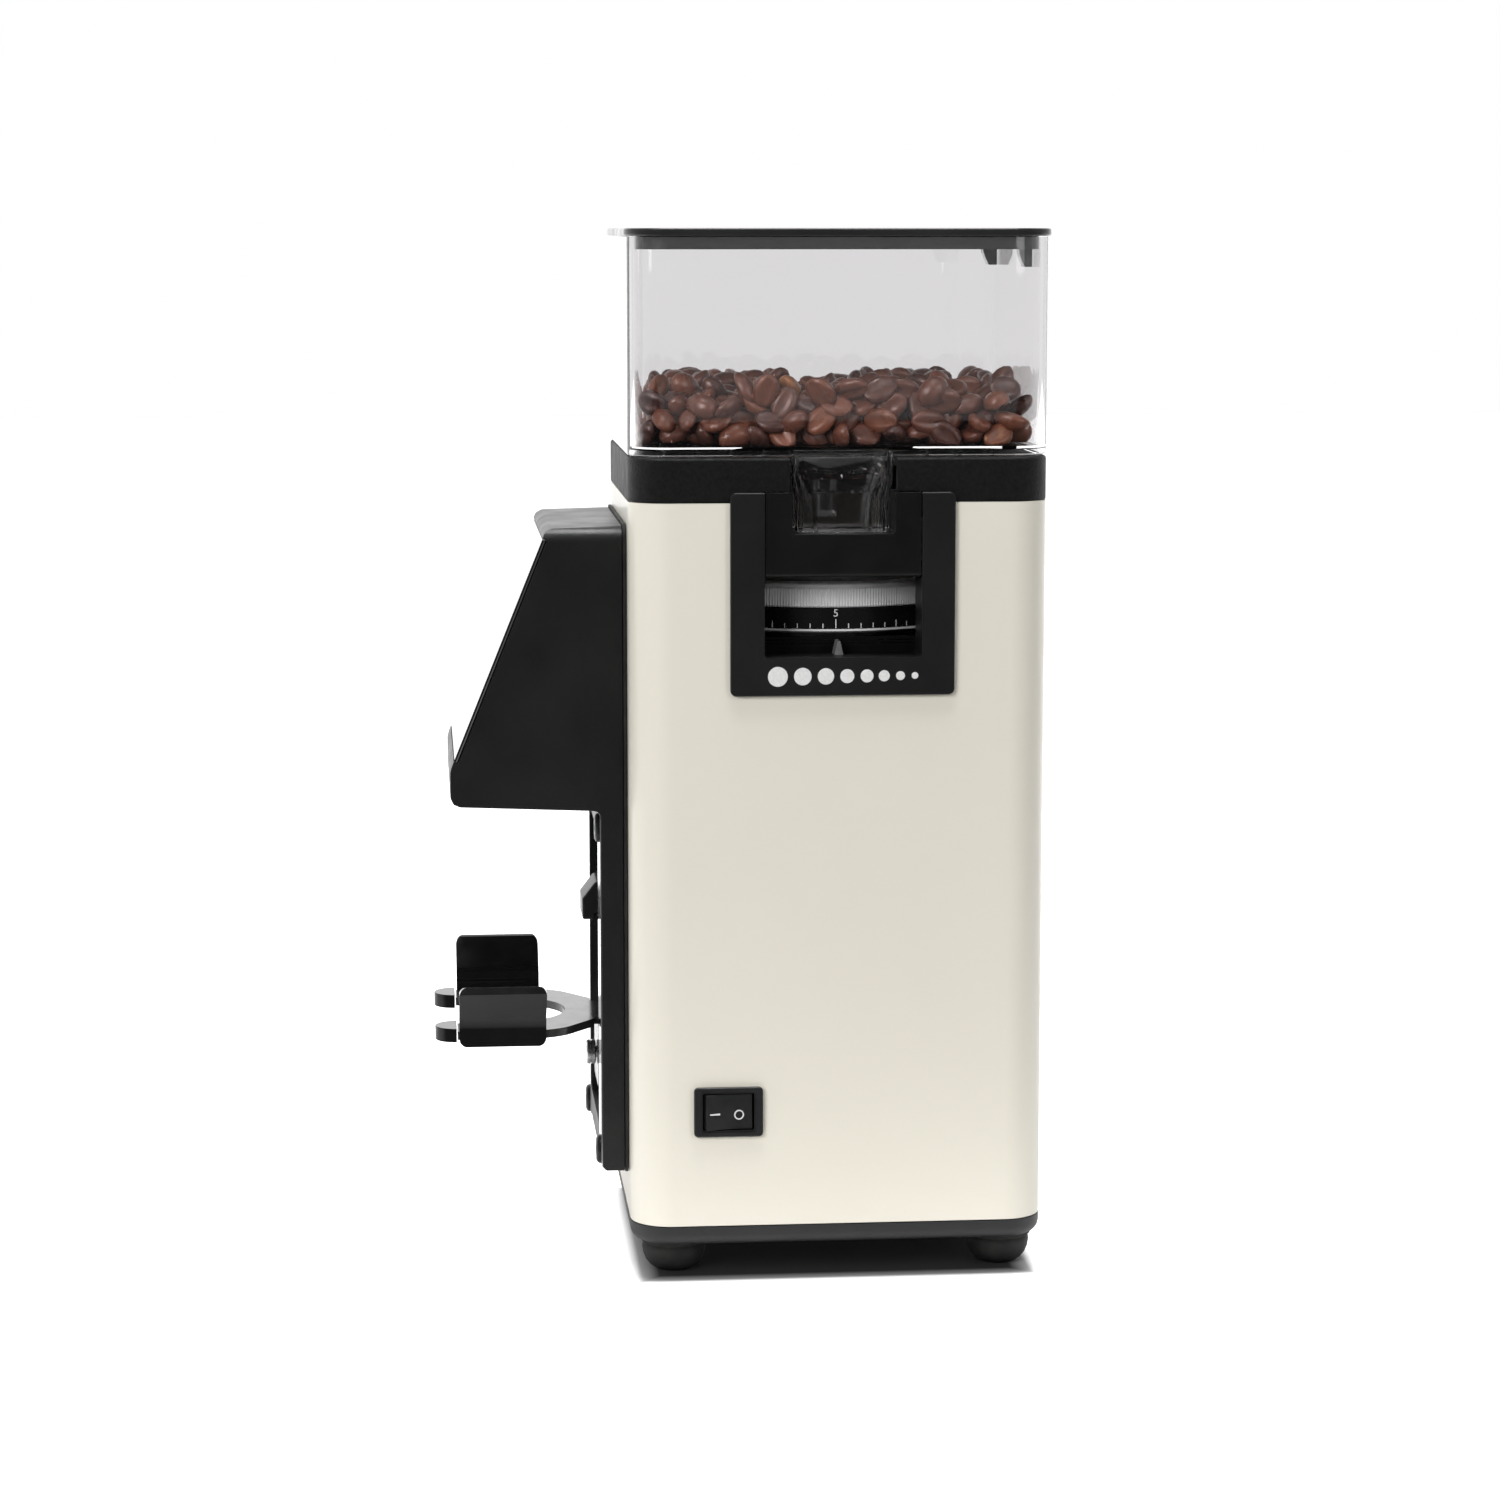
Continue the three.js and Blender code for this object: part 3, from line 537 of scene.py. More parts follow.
def tube(outer, inner, path, steps=40):
    """A tube along a flat run of points in the plane x = 0."""
    bm = bmesh.new()
    rings = []
    for n, spot in enumerate(path):
        ahead = path[min(n + 1, len(path) - 1)]
        behind = path[max(n - 1, 0)]
        along = (ahead - behind).normalized()
        across = Vector((0, -along.z, along.y))
        turn = [(math.cos(math.tau * k / steps), math.sin(math.tau * k / steps)) for k in range(steps)]
        rings.append([[bm.verts.new(spot + Vector((c * r, 0, 0)) + across * s * r) for c, s in turn]
                      for r in (outer, inner)])
    for k in range(steps):
        j = (k + 1) % steps
        for a, b in zip(rings, rings[1:]):
            for side in (0, 1):
                bm.faces.new((a[side][k], a[side][j], b[side][j], b[side][k]))
        for end in (rings[0], rings[-1]):
            bm.faces.new((end[0][k], end[0][j], end[1][j], end[1][k]))
    bmesh.ops.recalc_face_normals(bm, faces=bm.faces)
    return bm


chute_low, chute_high = span("ground_chute")
bend = [Vector((0, -56 * (1 - t) ** 2 - 160 * t * (1 - t) - 80 * t * t,
                190 * (1 - t) ** 2 + 380 * t * (1 - t) + 176 * t * t)) for t in [n / 16 for n in range(17)]]
path = [Vector((0, chute_high.y, 190)), Vector((0, chute_high.y - 0.3, 190))] + bend
path += [Vector((0, -80, chute_low.z + 1)), Vector((0, -80, chute_low.z))]
make("steel_chute", tube(11, 9.2, path), "housing", steel, ["ground_chute"])


# ---- Cover screws ----
# Four black socket screws with domed heads hold the front unit to the housing. Each has a hexagonal
# socket, and a plain shank that passes through the plate and the gasket.
screw_black = finish("blackened_screw", (0.016, 0.016, 0.017), (0.03, 0.03, 0.031), 2, (0.28, 0.45, 1),
                     metallic=0.6)
for n, (x, z) in enumerate(screw_spots, 1):
    near, far = span(f"cover_screw_{n}")
    head = [(0, far.y), (2, far.y), (2, near.y + 1.7), (5, near.y + 1.7), (5, near.y + 1.0),
            (4.6, near.y + 0.4), (3.8, near.y), (0, near.y)]
    screw = put(turned(head, steps=32), (x, 0, z), -90)
    make(f"socket_screw_{n}", carve(screw, pin(1.6, near.y - 1, near.y + 1.2, x, z, 6)), "housing",
         screw_black, [f"cover_screw_{n}"])


# ---- Activation tab and microswitch ----
# The filter holder pushes a black moulded tab that slides in the window of the plate and presses a small
# microswitch behind it. The tab's nose slopes so that the holder's rim glides onto it.
tab_low, tab_high = span("activation_tab")
tab = prism([(-36, 118.6), (-47.4, 118.6), (-47.4, 116.6), (-52, 116.6), (-52, 124), (-47.4, 130),
             (-36, 130)], -10, 10, 0)
tab = soften(tab, 0.8, 3)
tab = join(tab, block((tab_low.x, -41.7, tab_low.z), (tab_high.x, -40, tab_high.z)))
make("sloped_tab", tab, "trip_tab", textured_black, ["activation_tab"])
trip = block((-9, -31.3, 112), (9, -19, 130))
for side in (-17.2, 14.8):
    trip = join(trip, block((side, -36.2, 114), (side + 2.4, -19, 128)))
trip = join(trip, block((-16, -24, 116), (16, -19, 126)))
make("boxed_microswitch", soften(trip, 0.3, 2), "housing", black_plastic, ["microswitch"])


# ---- Fork for the filter holder ----
# A 3 mm steel fork plate with a black coating, bent down at the rear into a bracket that slides in the
# channel. It carries two glossy vinyl cheeks that guide the holder's body, and glossy caps on its tips.
fork_steel = finish("fork_steel", 0.026, 0.036, 10, (0.14, 0.22, 7), (0.3, 0.008, 0.3, (8, 1, 1)))
vinyl = finish("glossy_vinyl", 0.004, 0.007, 9, (0.06, 0.13, 6), (5, 0.06, 0.2), specular=0.3)

fork_low, fork_high = span("fork_plate")
plate_bottom, slot_radius, half_width = fork_high.z - 2.9, 22, fork_high.x
arc = [(slot_radius * math.cos(math.pi * k / 40), -80 + slot_radius * math.sin(math.pi * k / 40))
       for k in range(41)]
fork_outline = [(half_width, fork_low.y), (half_width, -62), (18, -48.4), (14, -48.4), (14, fork_high.y),
                (-14, fork_high.y), (-14, -48.4), (-18, -48.4), (-half_width, -62),
                (-half_width, fork_low.y), (-slot_radius, fork_low.y), *reversed(arc),
                (slot_radius, fork_low.y)]
plate = prism(fork_outline, plate_bottom, fork_high.z, 2)
bevel(plate, edge_at(plate, 2, (half_width, -62), (-half_width, -62)), 8, 6)
bracket = round_along(block((-14, -46.9, fork_low.z), (14, fork_high.y, fork_high.z - 1)), 1, 2, 4)
thumb_low, thumb_high = span("thumb_screw")
clamp_z = (thumb_low.z + thumb_high.z) / 2
plate = carve(join(plate, bracket), pin(2.4, -60, -30, 0, clamp_z))
make("steel_fork", soften(plate, 0.35, 3, 50), "fork", fork_steel, ["fork_plate"])

for side, label in ((1, "right"), (-1, "left")):
    cheek_low, cheek_high = span(f"fork_cheek_{label}")
    bend_line = [(36.9, 78.0), (40.2, 78.0), (40.3, 87.0), (51.2, 98.6), (49.4, 100.8), (47.8, 100.4),
                 (37.0, 88.6)]
    cheek = prism([(side * x, z) for x, z in bend_line], cheek_low.y, cheek_high.y, 1)
    bevel(cheek, edge_at(cheek, 1, (side * 40.3, 87), (side * 37, 88.6)), 3, 5)
    outline = block((-60, cheek_low.y, cheek_low.z - 0.1), (60, cheek_high.y, cheek_high.z + 0.1))
    cheek = merge(cheek, [round_along(outline, 0, 3.0, 7)], "INTERSECT")
    make(f"vinyl_cheek_{label}", soften(cheek, 0.9, 4, 50), "fork", vinyl, [f"fork_cheek_{label}"])

    tip_low, tip_high = span(f"fork_tip_{label}")
    middle_x, radius = side * (slot_radius + half_width) / 2, (half_width - slot_radius) / 2
    end = [(middle_x + radius * math.cos(math.pi * k / 24), -97 - radius * math.sin(math.pi * k / 24))
           for k in range(25)]
    tip = prism([(middle_x + radius, tip_high.y), *end, (middle_x - radius, tip_high.y)],
                tip_low.z, tip_high.z, 2)
    make(f"vinyl_tip_{label}", soften(tip, 2.0, 5, 50), "fork", vinyl, [f"fork_tip_{label}"])


# ---- Fork clamp ----
# A turned stainless thumb screw with a knurled band goes through the bracket into a square clamp plate
# behind the channel, so the fork can be set to the height of the holder.
nut_low, nut_high = span("clamp_nut")
nut = carve(round_along(block(nut_low, nut_high), 1, 2, 4), pin(2.4, -60, -30, 0, clamp_z))
make("clamp_plate", soften(nut, 0.25, 2), "fork", steel, ["clamp_nut"])
front = thumb_low.y
screw_profile = [(0, thumb_high.y), (2, thumb_high.y), (2, front + 3.3), (4.0, front + 3.3),
                 (4.4, front + 3.0), (4.4, front + 1.9), (4.1, front + 1.7), (4.1, front + 1.4),
                 (4.4, front + 1.2), (4.4, front + 0.4), (4.0, front), (1.2, front), (0, front + 0.25)]
thumb = put(turned(screw_profile, steps=72), (0, 0, clamp_z), -90)
make("turned_thumb_screw", thumb, "clamp", steel, ["thumb_screw"])


# ---- Power switch ----
# A snap-in rocker switch: a satin moulded bezel with rounded corners and a stepped well, and a rocker with
# concave halves that carries a moulded bar and ring printed in white.
satin_black = finish("satin_black", (0.012, 0.012, 0.013), (0.018, 0.018, 0.019), 5, 0.3, (0.35, 0.03, 0.35))
white_mark = finish("white_ink", (0.74, 0.74, 0.73), (0.84, 0.84, 0.83), 0.8, 0.5)
body_low, body_high = span("power_switch_body")
centre_y, centre_z = (body_low.y + body_high.y) / 2, (body_low.z + body_high.z) / 2
bezel = round_along(block((67.3, body_low.y, body_low.z), body_high), 0, 1.5, 6)
bevel(bezel, rim(bezel, lambda p: p.x > body_high.x - 0.01), 0.5, 3)
case = round_along(block((body_low.x, body_low.y + 2.1, body_low.z + 1.4),
                         (67.6, body_high.y - 2.1, body_high.z - 1.4)), 0, 0.8, 3)
well = round_along(block((57.4, centre_y - 8.8, centre_z - 6.45), (80, centre_y + 8.8, centre_z + 6.45)),
                   0, 0.6, 3)
funnel = round_along(block((68.2, centre_y - 9.4, centre_z - 7.0), (80, centre_y + 9.4, centre_z + 7.0)),
                     0, 1.0, 3)
make("switch_bezel", carve(join(bezel, case), well, funnel), "housing", satin_black,
     ["power_switch_body"])

pivot = Vector((66.3, centre_y, centre_z))
tilt, reach = 9, 8.3
face = [(1.4 + 0.8 * (k / 12) ** 2, (reach - 0.3) * k / 12) for k in range(-12, 13)]
back = [(-reach * math.sin(math.pi * k / 24), reach * math.cos(math.pi * k / 24)) for k in range(25)]
rocker = soften(prism(face + back, -6.15, 6.15, 2), 0.3, 3, 50)


def seat(bm):
    """Puts a shape made round the rocker's pivot in the rocker's place at rest."""
    return put(bm, pivot, tilt, "Z")


make("moulded_rocker", seat(rocker), "switch_rocker", satin_black, ["rocker"])
bar = block((1.3, -6.9, -0.85), (1.98, -3.3, -0.35))
make("on_bar", seat(bar), "switch_rocker", white_mark)
ring_mark = turned([(1.28, 1.2), (1.7, 1.2), (1.7, 1.84), (1.28, 1.84)], steps=40)
make("off_ring", seat(put(ring_mark, (0, 3.4, -1.1), 90, "Y")), "switch_rocker", white_mark)


# ---- Dial surround ----
# A black moulded frame around the adjusting ring, pushed into the housing from outside. It has a trough
# behind the window, a raised grey pointer and eight printed dots that show fine to coarse.
dial_low, dial_high = span("dial_surround")
face_x, flange_x = dial_high.x, 67.3
window_from, window_to, window_floor = 7, 60, 215.2
pointer_y = (window_from + window_to) / 2 - 0.5
flange = round_along(block((flange_x, dial_low.y, dial_low.z), dial_high), 0, 2, 8)
bevel(flange, rim(flange, lambda p: p.x > face_x - 0.01), 0.5, 3)
trough = block((52, 2.6, 209), (67.5, 64.4, 241.5))
window = block((42, window_from, window_floor), (face_x + 5, window_to, 300))
bevel(window, edge_at(window, 0, (window_from, window_floor), (window_to, window_floor)), 1.2, 4)
# Painted shade: a thin black wall stands in front of the chamber below the ring and hides it, so the gap
# there reads dark.
painted_shade_wall = block((51.2, 6, 214), (52.2, 61, 220.6))
surround = join(carve(join(flange, trough), window), painted_shade_wall)
bevel(surround, rim(surround, lambda p: p.x > face_x - 0.01 and 6.9 < p.y < 60.1 and p.z > 218), 0.5, 3)
pointer = prism([(pointer_y - 1.6, 214.9), (pointer_y + 1.6, 214.9), (pointer_y + 0.5, 219.8),
                 (pointer_y - 0.5, 219.8)], 52.3, 60, 0)
for height in (218.4, 219.4):
    surround = carve(surround, block((51.0, 8, height - 0.15), (52.25, 59, height + 0.15)))
frame_made = make("dial_frame", surround, "housing", textured_black, ["dial_surround"], 30)
# Painted shade: the deep faces of the trough and the wall below the ring get a darker, less glossy black than
# the rest of the frame.
trough_painted_shade = finish("trough_painted_shade", 0.004, 0.006, 8, (0.55, 0.65, 6), (0.5, 0.02, 0.2), specular=0.15)
frame_made.data.materials.append(trough_painted_shade)
for face in frame_made.data.polygons:
    if face.center.x < 0.0545 and face.center.z > 0.2154:
        face.material_index = 1
pointer_grey = finish("pointer_grey", 0.14, 0.19, 3, (0.35, 0.45, 4), (0.4, 0.02, 0.3))
make("dial_pointer", soften(pointer, 0.2, 2), "housing", pointer_grey)
dots = [(11.4, 3.35), (19.8, 2.97), (27.6, 2.77), (34.8, 2.37), (41.5, 2.2), (47.3, 1.89), (52.8, 1.52),
        (57.7, 1.15)]
for n, (y, radius) in enumerate(dots, 1):
    dot = turned([(0, 0), (radius, 0), (radius, 0.06), (radius - 0.04, 0.1), (0, 0.1)], steps=48)
    make(f"grind_dot_{n}", put(dot, (face_x - 0.02, y, 209), 90, "Y"), "housing", white_mark)


# ---- Spout block ----
# A separate black block that stands in the top of the dial frame and keys the hopper: its U-shaped cut
# takes the lug under the hopper. The outer edges are generously rounded.
block_low, block_high = span("spout_block")
block_black = finish("block_black", 0.005, 0.008, 12, 0.34, (0.5, 0.03, 0.3), specular=0.3)
key = block(block_low, block_high)
bevel(key, edge_at(key, 1, (block_high.x, block_low.z)), 2.4, 6)
bevel(key, edge_at(key, 2, (block_high.x, block_low.y), (block_high.x, block_high.y)), 1.6, 5)
slot_shape = block((40, 16.2, 256.7), (80, 51, 300))
bevel(slot_shape, edge_at(slot_shape, 0, (16.2, 256.7), (51, 256.7)), 1.2, 4)
key = carve(key, slot_shape)
bevel(key, rim(key, lambda p: p.z > block_high.z - 0.01,
               lambda p: p.x > block_high.x - 0.01 and 16 < p.y < 51.2 and p.z > 256.5), 0.6, 3)
make("keyed_block", key, "housing", block_black, ["spout_block"], 30)


# ---- Adjusting rings ----
# A turned aluminium ring with a fine straight knurl sits on a black anodised ring that carries the scale.
# Thin white ticks and numbers are let into it; a near-white band on its lower edge is a painted highlight.
ring_low, ring_high = span("knurled_ring")
axis_place = (0, (ring_low.y + ring_high.y) / 2, 0)
# Its light grey is the metal's own, but it is made mostly matte so that the knurl stays bright in the shade
# of the window: painted light in place of metal reflection.
aluminium = finish("aluminium_painted_bright", 0.88, 0.95, 5, (0.42, 0.56, 3), (0.3, 0.01, 0.3, (1, 1, 0.1)), 0.15)
teeth = 320
knurl_profile = [(42.5, ring_low.z), (50.0, ring_low.z), (50.6, ring_low.z + 0.45), (50.6, 236.5),
                 (50.0, 237.0), (49.7, 237.3), (49.7, 237.9), (49.3, ring_high.z), (40.0, ring_high.z),
                 (40.0, 237.1), (42.5, 237.1)]
knurl = turned(knurl_profile, (0, 0, 0), teeth * 2)
for vert in knurl.verts:
    out_by = math.hypot(vert.co.x, vert.co.y)
    step = round(math.atan2(vert.co.y, vert.co.x) / math.tau * teeth * 2)
    if out_by > 50.3 and step % 2:
        vert.co.x *= 50.22 / out_by
        vert.co.y *= 50.22 / out_by
make("knurled_grip", put(knurl, axis_place), "adjuster", aluminium, ["knurled_ring"], 20)

anodised = finish("black_anodised", (0.019, 0.019, 0.02), (0.028, 0.028, 0.029), 6, (0.22, 0.33, 4),
                  (0.25, 0.01, 0.3, (1, 1, 12)), 0.7)
scale_low, scale_high = span("scale_ring")
scale_radius = 50.2
scale_profile = [(42.5, scale_low.z), (48.4, scale_low.z), (scale_radius - 0.1, scale_low.z + 1.3),
                 (scale_radius, scale_low.z + 1.5), (scale_radius, scale_high.z - 0.3),
                 (scale_radius - 0.3, scale_high.z), (42.5, scale_high.z)]
make("scale_band", turned(scale_profile, axis_place, 180), "adjuster", anodised, ["scale_ring"])
# Painted highlight: a thin band of near-white aluminium on the scale band's lower chamfer stands in for the
# bright line that light draws there.
painted_highlight_profile = [(48.2, scale_low.z - 0.05), (48.6, scale_low.z - 0.05),
               (scale_radius + 0.08, scale_low.z + 0.7), (scale_radius + 0.08, scale_low.z + 1.4),
               (49.6, scale_low.z + 1.4), (48.2, scale_low.z + 0.3)]
make("painted_highlight_band", turned(painted_highlight_profile, axis_place, 180), "adjuster", aluminium)


def wrap(bm, radius, angle):
    """Wraps a flat shape (across, up, out) round the rings' axis at an angle in degrees."""
    for vert in bm.verts:
        across, up, out_by = vert.co
        turn = math.radians(angle) + across / radius
        vert.co = ((radius + out_by) * math.cos(turn), (radius + out_by) * math.sin(turn), up)
    return put(bm, axis_place)


def digits(text, height, middle, thickness):
    """Flat figures as a closed mesh: x across, y up and centred on middle, z out."""
    curve = bpy.data.curves.new("figures", "FONT")
    curve.body = text
    curve.size = height * 1.4
    curve.align_x = "CENTER"
    curve.align_y = "CENTER"
    curve.extrude = thickness / 2
    curve.resolution_u = 4
    obj = bpy.data.objects.new("figures", curve)
    scene.collection.objects.link(obj)
    bpy.context.view_layer.update()
    bm = bmesh.new()
    bm.from_mesh(obj.evaluated_get(bpy.context.evaluated_depsgraph_get()).to_mesh())
    bpy.data.objects.remove(obj)
    bpy.data.curves.remove(curve)
    bmesh.ops.remove_doubles(bm, verts=bm.verts, dist=0.001)
    bmesh.ops.recalc_face_normals(bm, faces=bm.faces)
    return put(bm, (0, middle, 0))


marks = bmesh.new()
for step in range(61):
    tall = 3.1 if step % 10 == 0 else 2.3 if step % 5 == 0 else 1.6
    tick = block((-0.17, scale_low.z + 1.7, -0.06), (0.17, scale_low.z + 1.7 + tall, 0.03))
    spare = bpy.data.meshes.new("tick")
    wrap(tick, scale_radius, 50 - 5 * step).to_mesh(spare)
    marks.from_mesh(spare)
    tick.free()
    bpy.data.meshes.remove(spare)
make("scale_ticks", marks, "adjuster", white_mark)
for number in range(0, 31, 5):
    figure = wrap(digits(str(number), 2.6, scale_low.z + 6.8, 0.09), scale_radius, 50 - 10 * number)
    make(f"number_{number}", figure, "adjuster", white_mark)


# ---- Neck collar ----
# A black textured moulding that caps the steel sheet. Its skirt drops inside the sheet, its flat top
# carries the hopper, and it is cut away for the hopper's lug and for the dial frame.
collar_black = finish("collar_black", 0.004, 0.011, 1.2, (0.5, 0.62, 10), (0.9, 0.16, 1.0), specular=0.3)
shell_low, shell_high = span("housing_shell")
centre_y = (shell_low.y + shell_high.y) / 2


def body_block(inset, bottom, top, steps=14):
    """A block with the housing's footprint, drawn in by inset."""
    slab = block((shell_low.x + inset, shell_low.y + inset, bottom),
                 (shell_high.x - inset, shell_high.y - inset, top))
    return round_along(slab, 2, body_radius - inset, steps)


collar_low, collar_high = span("neck_collar")
collar = body_block(0, shell_high.z + 0.3, collar_high.z)
bevel(collar, rim(collar, lambda p: p.z > collar_high.z - 0.01), 1.0, 4)
collar = join(collar, body_block(1.9, collar_low.z, shell_high.z + 1))
collar = carve(collar, body_block(4.5, 200, collar_high.z - 3),
               turned([(0, 200), (37, 200), (37, 300), (0, 300)], axis_place, 64),
               block((20, 15.6, 200), (80, 51.8, 300)),
               block((49, 6.7, 200), (80, 60.3, dial_high.z + 0.4)))
make("textured_collar", collar, "housing", collar_black, ["neck_collar"], 30)


# ---- Bean hopper ----
# A crystal clear moulded box with 2.6 mm walls, rounded corners and a stepped rim at its foot. A funnel and
# throat feed the burrs, and a ribbed clear lug keys into the spout block. Lamps shine through the plastic.
clear_plastic = finish("clear_plastic", (0.935, 0.927, 0.933), (0.945, 0.937, 0.943), 60, (0.0, 0.02, 20))
tree = clear_plastic.node_tree
shader = tree.nodes["Principled BSDF"]
shader.inputs["Transmission Weight"].default_value = 1.0
shader.inputs["IOR"].default_value = 1.49
passing = tree.nodes.new("ShaderNodeBsdfTransparent")
passing.inputs["Color"].default_value = (0.92, 0.92, 0.92, 1)
rays = tree.nodes.new("ShaderNodeLightPath").outputs
mix = tree.nodes.new("ShaderNodeMixShader")
tree.links.new(reckon(tree, "MAXIMUM", rays["Is Shadow Ray"], rays["Is Diffuse Ray"]), mix.inputs["Fac"])
tree.links.new(shader.outputs[0], mix.inputs[1])
tree.links.new(passing.outputs[0], mix.inputs[2])
tree.links.new(mix.outputs[0], tree.nodes["Material Output"].inputs["Surface"])
hopper_low, hopper_high = span("hopper")
foot_z = collar_high.z + 0.6
wall, floor_top = 2.6, foot_z + 3
walls = body_block(0, foot_z, hopper_high.z)
bevel(walls, rim(walls, lambda p: p.z < foot_z + 0.01), 0.5, 2)
walls = carve(walls, body_block(wall, floor_top, 400), body_block(wall - 0.4, foot_z - 1, floor_top - 1.1))
throat_out = turned([(0, hopper_low.z), (22, hopper_low.z), (22, 272), (33, 282.6), (33, 284.9), (0, 284.9)],
                    axis_place, 64)
throat_in = turned([(0, 200), (19.5, 200), (19.5, 275), (30, floor_top), (30, 290), (0, 290)], axis_place, 64)
lug = prism([(17.8, 257.1), (49.2, 257.1), (49.0, 268), (50.4, 276), (50.4, 284.9), (16.6, 284.9),
             (16.6, 276), (18.0, 268)], 52, 67, 0)
lug_hollow = prism([(19.8, 250), (47.2, 250), (47.0, 268.4), (48.4, 276.4), (48.4, 282.6), (18.6, 282.6),
                    (18.6, 276.4), (20.0, 268.4)], 54, 64.6, 0)
walls = carve(join(walls, throat_out, soften(lug, 1.2, 4)), soften(lug_hollow, 0.6, 2), throat_in)
lug_middle = 33.5
fin_outline = [(8.2, 257.8), (9.6, 257.8), (10.6, 268), (14.6, 277), (14.6, 281), (13.4, 281), (9.4, 269)]
for lean in (-1, 1):
    walls = join(walls, prism([(lug_middle + lean * y, z) for y, z in fin_outline], 53.5, 65.5, 0))
for height in (270.6, 277.2):
    rib = carve(turned([(8.0, height - 0.5), (8.9, height - 0.5), (8.9, height + 0.5), (8.0, height + 0.5)],
                       (56.6, lug_middle, 0), 48), block((40, 0, 200), (53.6, 60, 300)))
    walls = join(walls, rib)
for y in [y for y in range(-26, 95, 11) if not 14 < y < 53]:
    walls = join(walls, block((52, y - 0.5, foot_z + 0.1), (65, y + 0.5, floor_top - 1.0)))
make("clear_hopper", walls, "bean_hopper", clear_plastic, ["hopper"], 30)


# ---- Coffee beans ----
# Dark roasted beans fill the lower third of the hopper: plump ovals with one flat, creased side, each a
# little different in size and roast. Only those that can be seen are made.
roast_stops = [(0.0, (0.04, 0.014, 0.011)), (0.45, (0.13, 0.045, 0.028)), (0.85, (0.21, 0.07, 0.035)),
               (1.0, (0.42, 0.18, 0.08))]
bean_brown = finish("roasted_bean", roast_stops[0][1], roast_stops[2][1], 3, (0.24, 0.42, 4))
tree = bean_brown.node_tree
tone = tree.nodes.new("ShaderNodeAttribute")
tone.attribute_name = "roast"
blotch = fade(tree, noise(tree, 1000 / 350, 2), 0, 1, -0.25, 0.25)
tree.links.new(ramp(tree, reckon(tree, "ADD", blotch, tone.outputs["Fac"]), roast_stops),
               tree.nodes["Principled BSDF"].inputs["Base Color"])

bean = bmesh.new()
bmesh.ops.create_uvsphere(bean, u_segments=16, v_segments=8, radius=1)
put(bean, (0, 0, 0), 90, "Y")
for vert in bean.verts:
    x, y, z = vert.co
    if z < 0:
        crease = max(0.0, 1 - abs(y) / 0.2) * (1 - x * x)
        z = z * 0.45 + 0.42 * crease
    vert.co = (x * 6.1, y * 4.5, z * 4.0)
bean_points = [v.co.copy() for v in bean.verts]
bean_faces = [[v.index for v in f.verts] for f in bean.faces]
bean.free()

dice = random.Random(11)
points, faces, roasts = [], [], []
half_x, half_y, corner = shell_high.x - wall - 5.2, (shell_high.y - shell_low.y) / 2 - wall - 5.2, 9.0
pitch_x, pitch_y, outside = 8.6, 9.0, 999
layers = [(floor_top + 3.8, 2), (floor_top + 8.8, 2), (floor_top + 13.8, 9), (floor_top + 18.2, 9)]
for level, (height, depth) in enumerate(layers):
    crowd = 1.0 if level < 3 else 0.35
    for row in range(-8, 9):
        for column in range(-10, 11):
            x = (column + 0.5 * ((row + level) % 2)) * pitch_x + dice.uniform(-1.4, 1.4)
            y = row * pitch_y + dice.uniform(-1.4, 1.4) + 3.4 * (level % 2)
            x = max(-half_x, min(half_x, x)) if abs(x) < half_x + 4 else outside
            y = max(-half_y, min(half_y, y)) if abs(y) < half_y + 4 else outside
            if outside in (x, y) or dice.random() > crowd:
                continue
            past_x, past_y = abs(x) - (half_x - corner), abs(y) - (half_y - corner)
            if past_x > 0 and past_y > 0 and math.hypot(past_x, past_y) > corner:
                continue
            if min(half_x - abs(x), half_y - abs(y)) > depth * pitch_x:
                continue
            turn = Matrix.Rotation(dice.uniform(0, math.tau), 3, "Z")
            turn = turn @ Matrix.Rotation(dice.gauss(0, 0.45), 3, "Y")
            turn = turn @ Matrix.Rotation(dice.choice((0, math.pi / 2, math.pi, -math.pi / 2)) +
                                          dice.gauss(0, 0.4), 3, "X")
            if x > half_x - 7 and dice.random() < 0.5:
                lie = Vector((dice.gauss(0, 0.25), dice.gauss(0, 1), dice.gauss(0, 0.6)))
                facing = Vector((1, dice.gauss(0, 0.3), dice.gauss(0.1, 0.3))).normalized()
                lie = (lie - facing * lie.dot(facing)).normalized()
                turn = Matrix((lie, (-facing).cross(lie), -facing)).transposed()
            size = dice.uniform(0.86, 1.06)
            shape = Vector((1, dice.uniform(0.9, 1.08), dice.uniform(0.88, 1.08)))
            middle = Vector((x, centre_y + y, height + dice.uniform(-1.0, 1.0)))
            first = len(points)
            points += [turn @ (p * shape * size) + middle for p in bean_points]
            faces += [[first + i for i in f] for f in bean_faces]
            roasts += [min(1.0, max(0.0, dice.gauss(0.42, 0.24)))] * len(bean_points)
wall_x, wall_y = shell_high.x - wall - 0.3, (shell_high.y - shell_low.y) / 2 - wall - 0.3
for p in points:
    p.x = max(-wall_x, min(wall_x, p.x))
    p.y = centre_y + max(-wall_y, min(wall_y, p.y - centre_y))
    p.z = max(floor_top + 0.3, p.z)
bean_mesh = bpy.data.meshes.new("beans")
bean_mesh.from_pydata([p / 1000 for p in points], [], faces)
bean_mesh.polygons.foreach_set("use_smooth", [True] * len(bean_mesh.polygons))
layer = bean_mesh.attributes.new("roast", "FLOAT", "POINT")
layer.data.foreach_set("value", roasts)
bean_mesh.materials.append(bean_brown)
beans = bpy.data.objects.new("coffee_beans", bean_mesh)
scene.collection.objects.link(beans)
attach(beans, "bean_hopper")


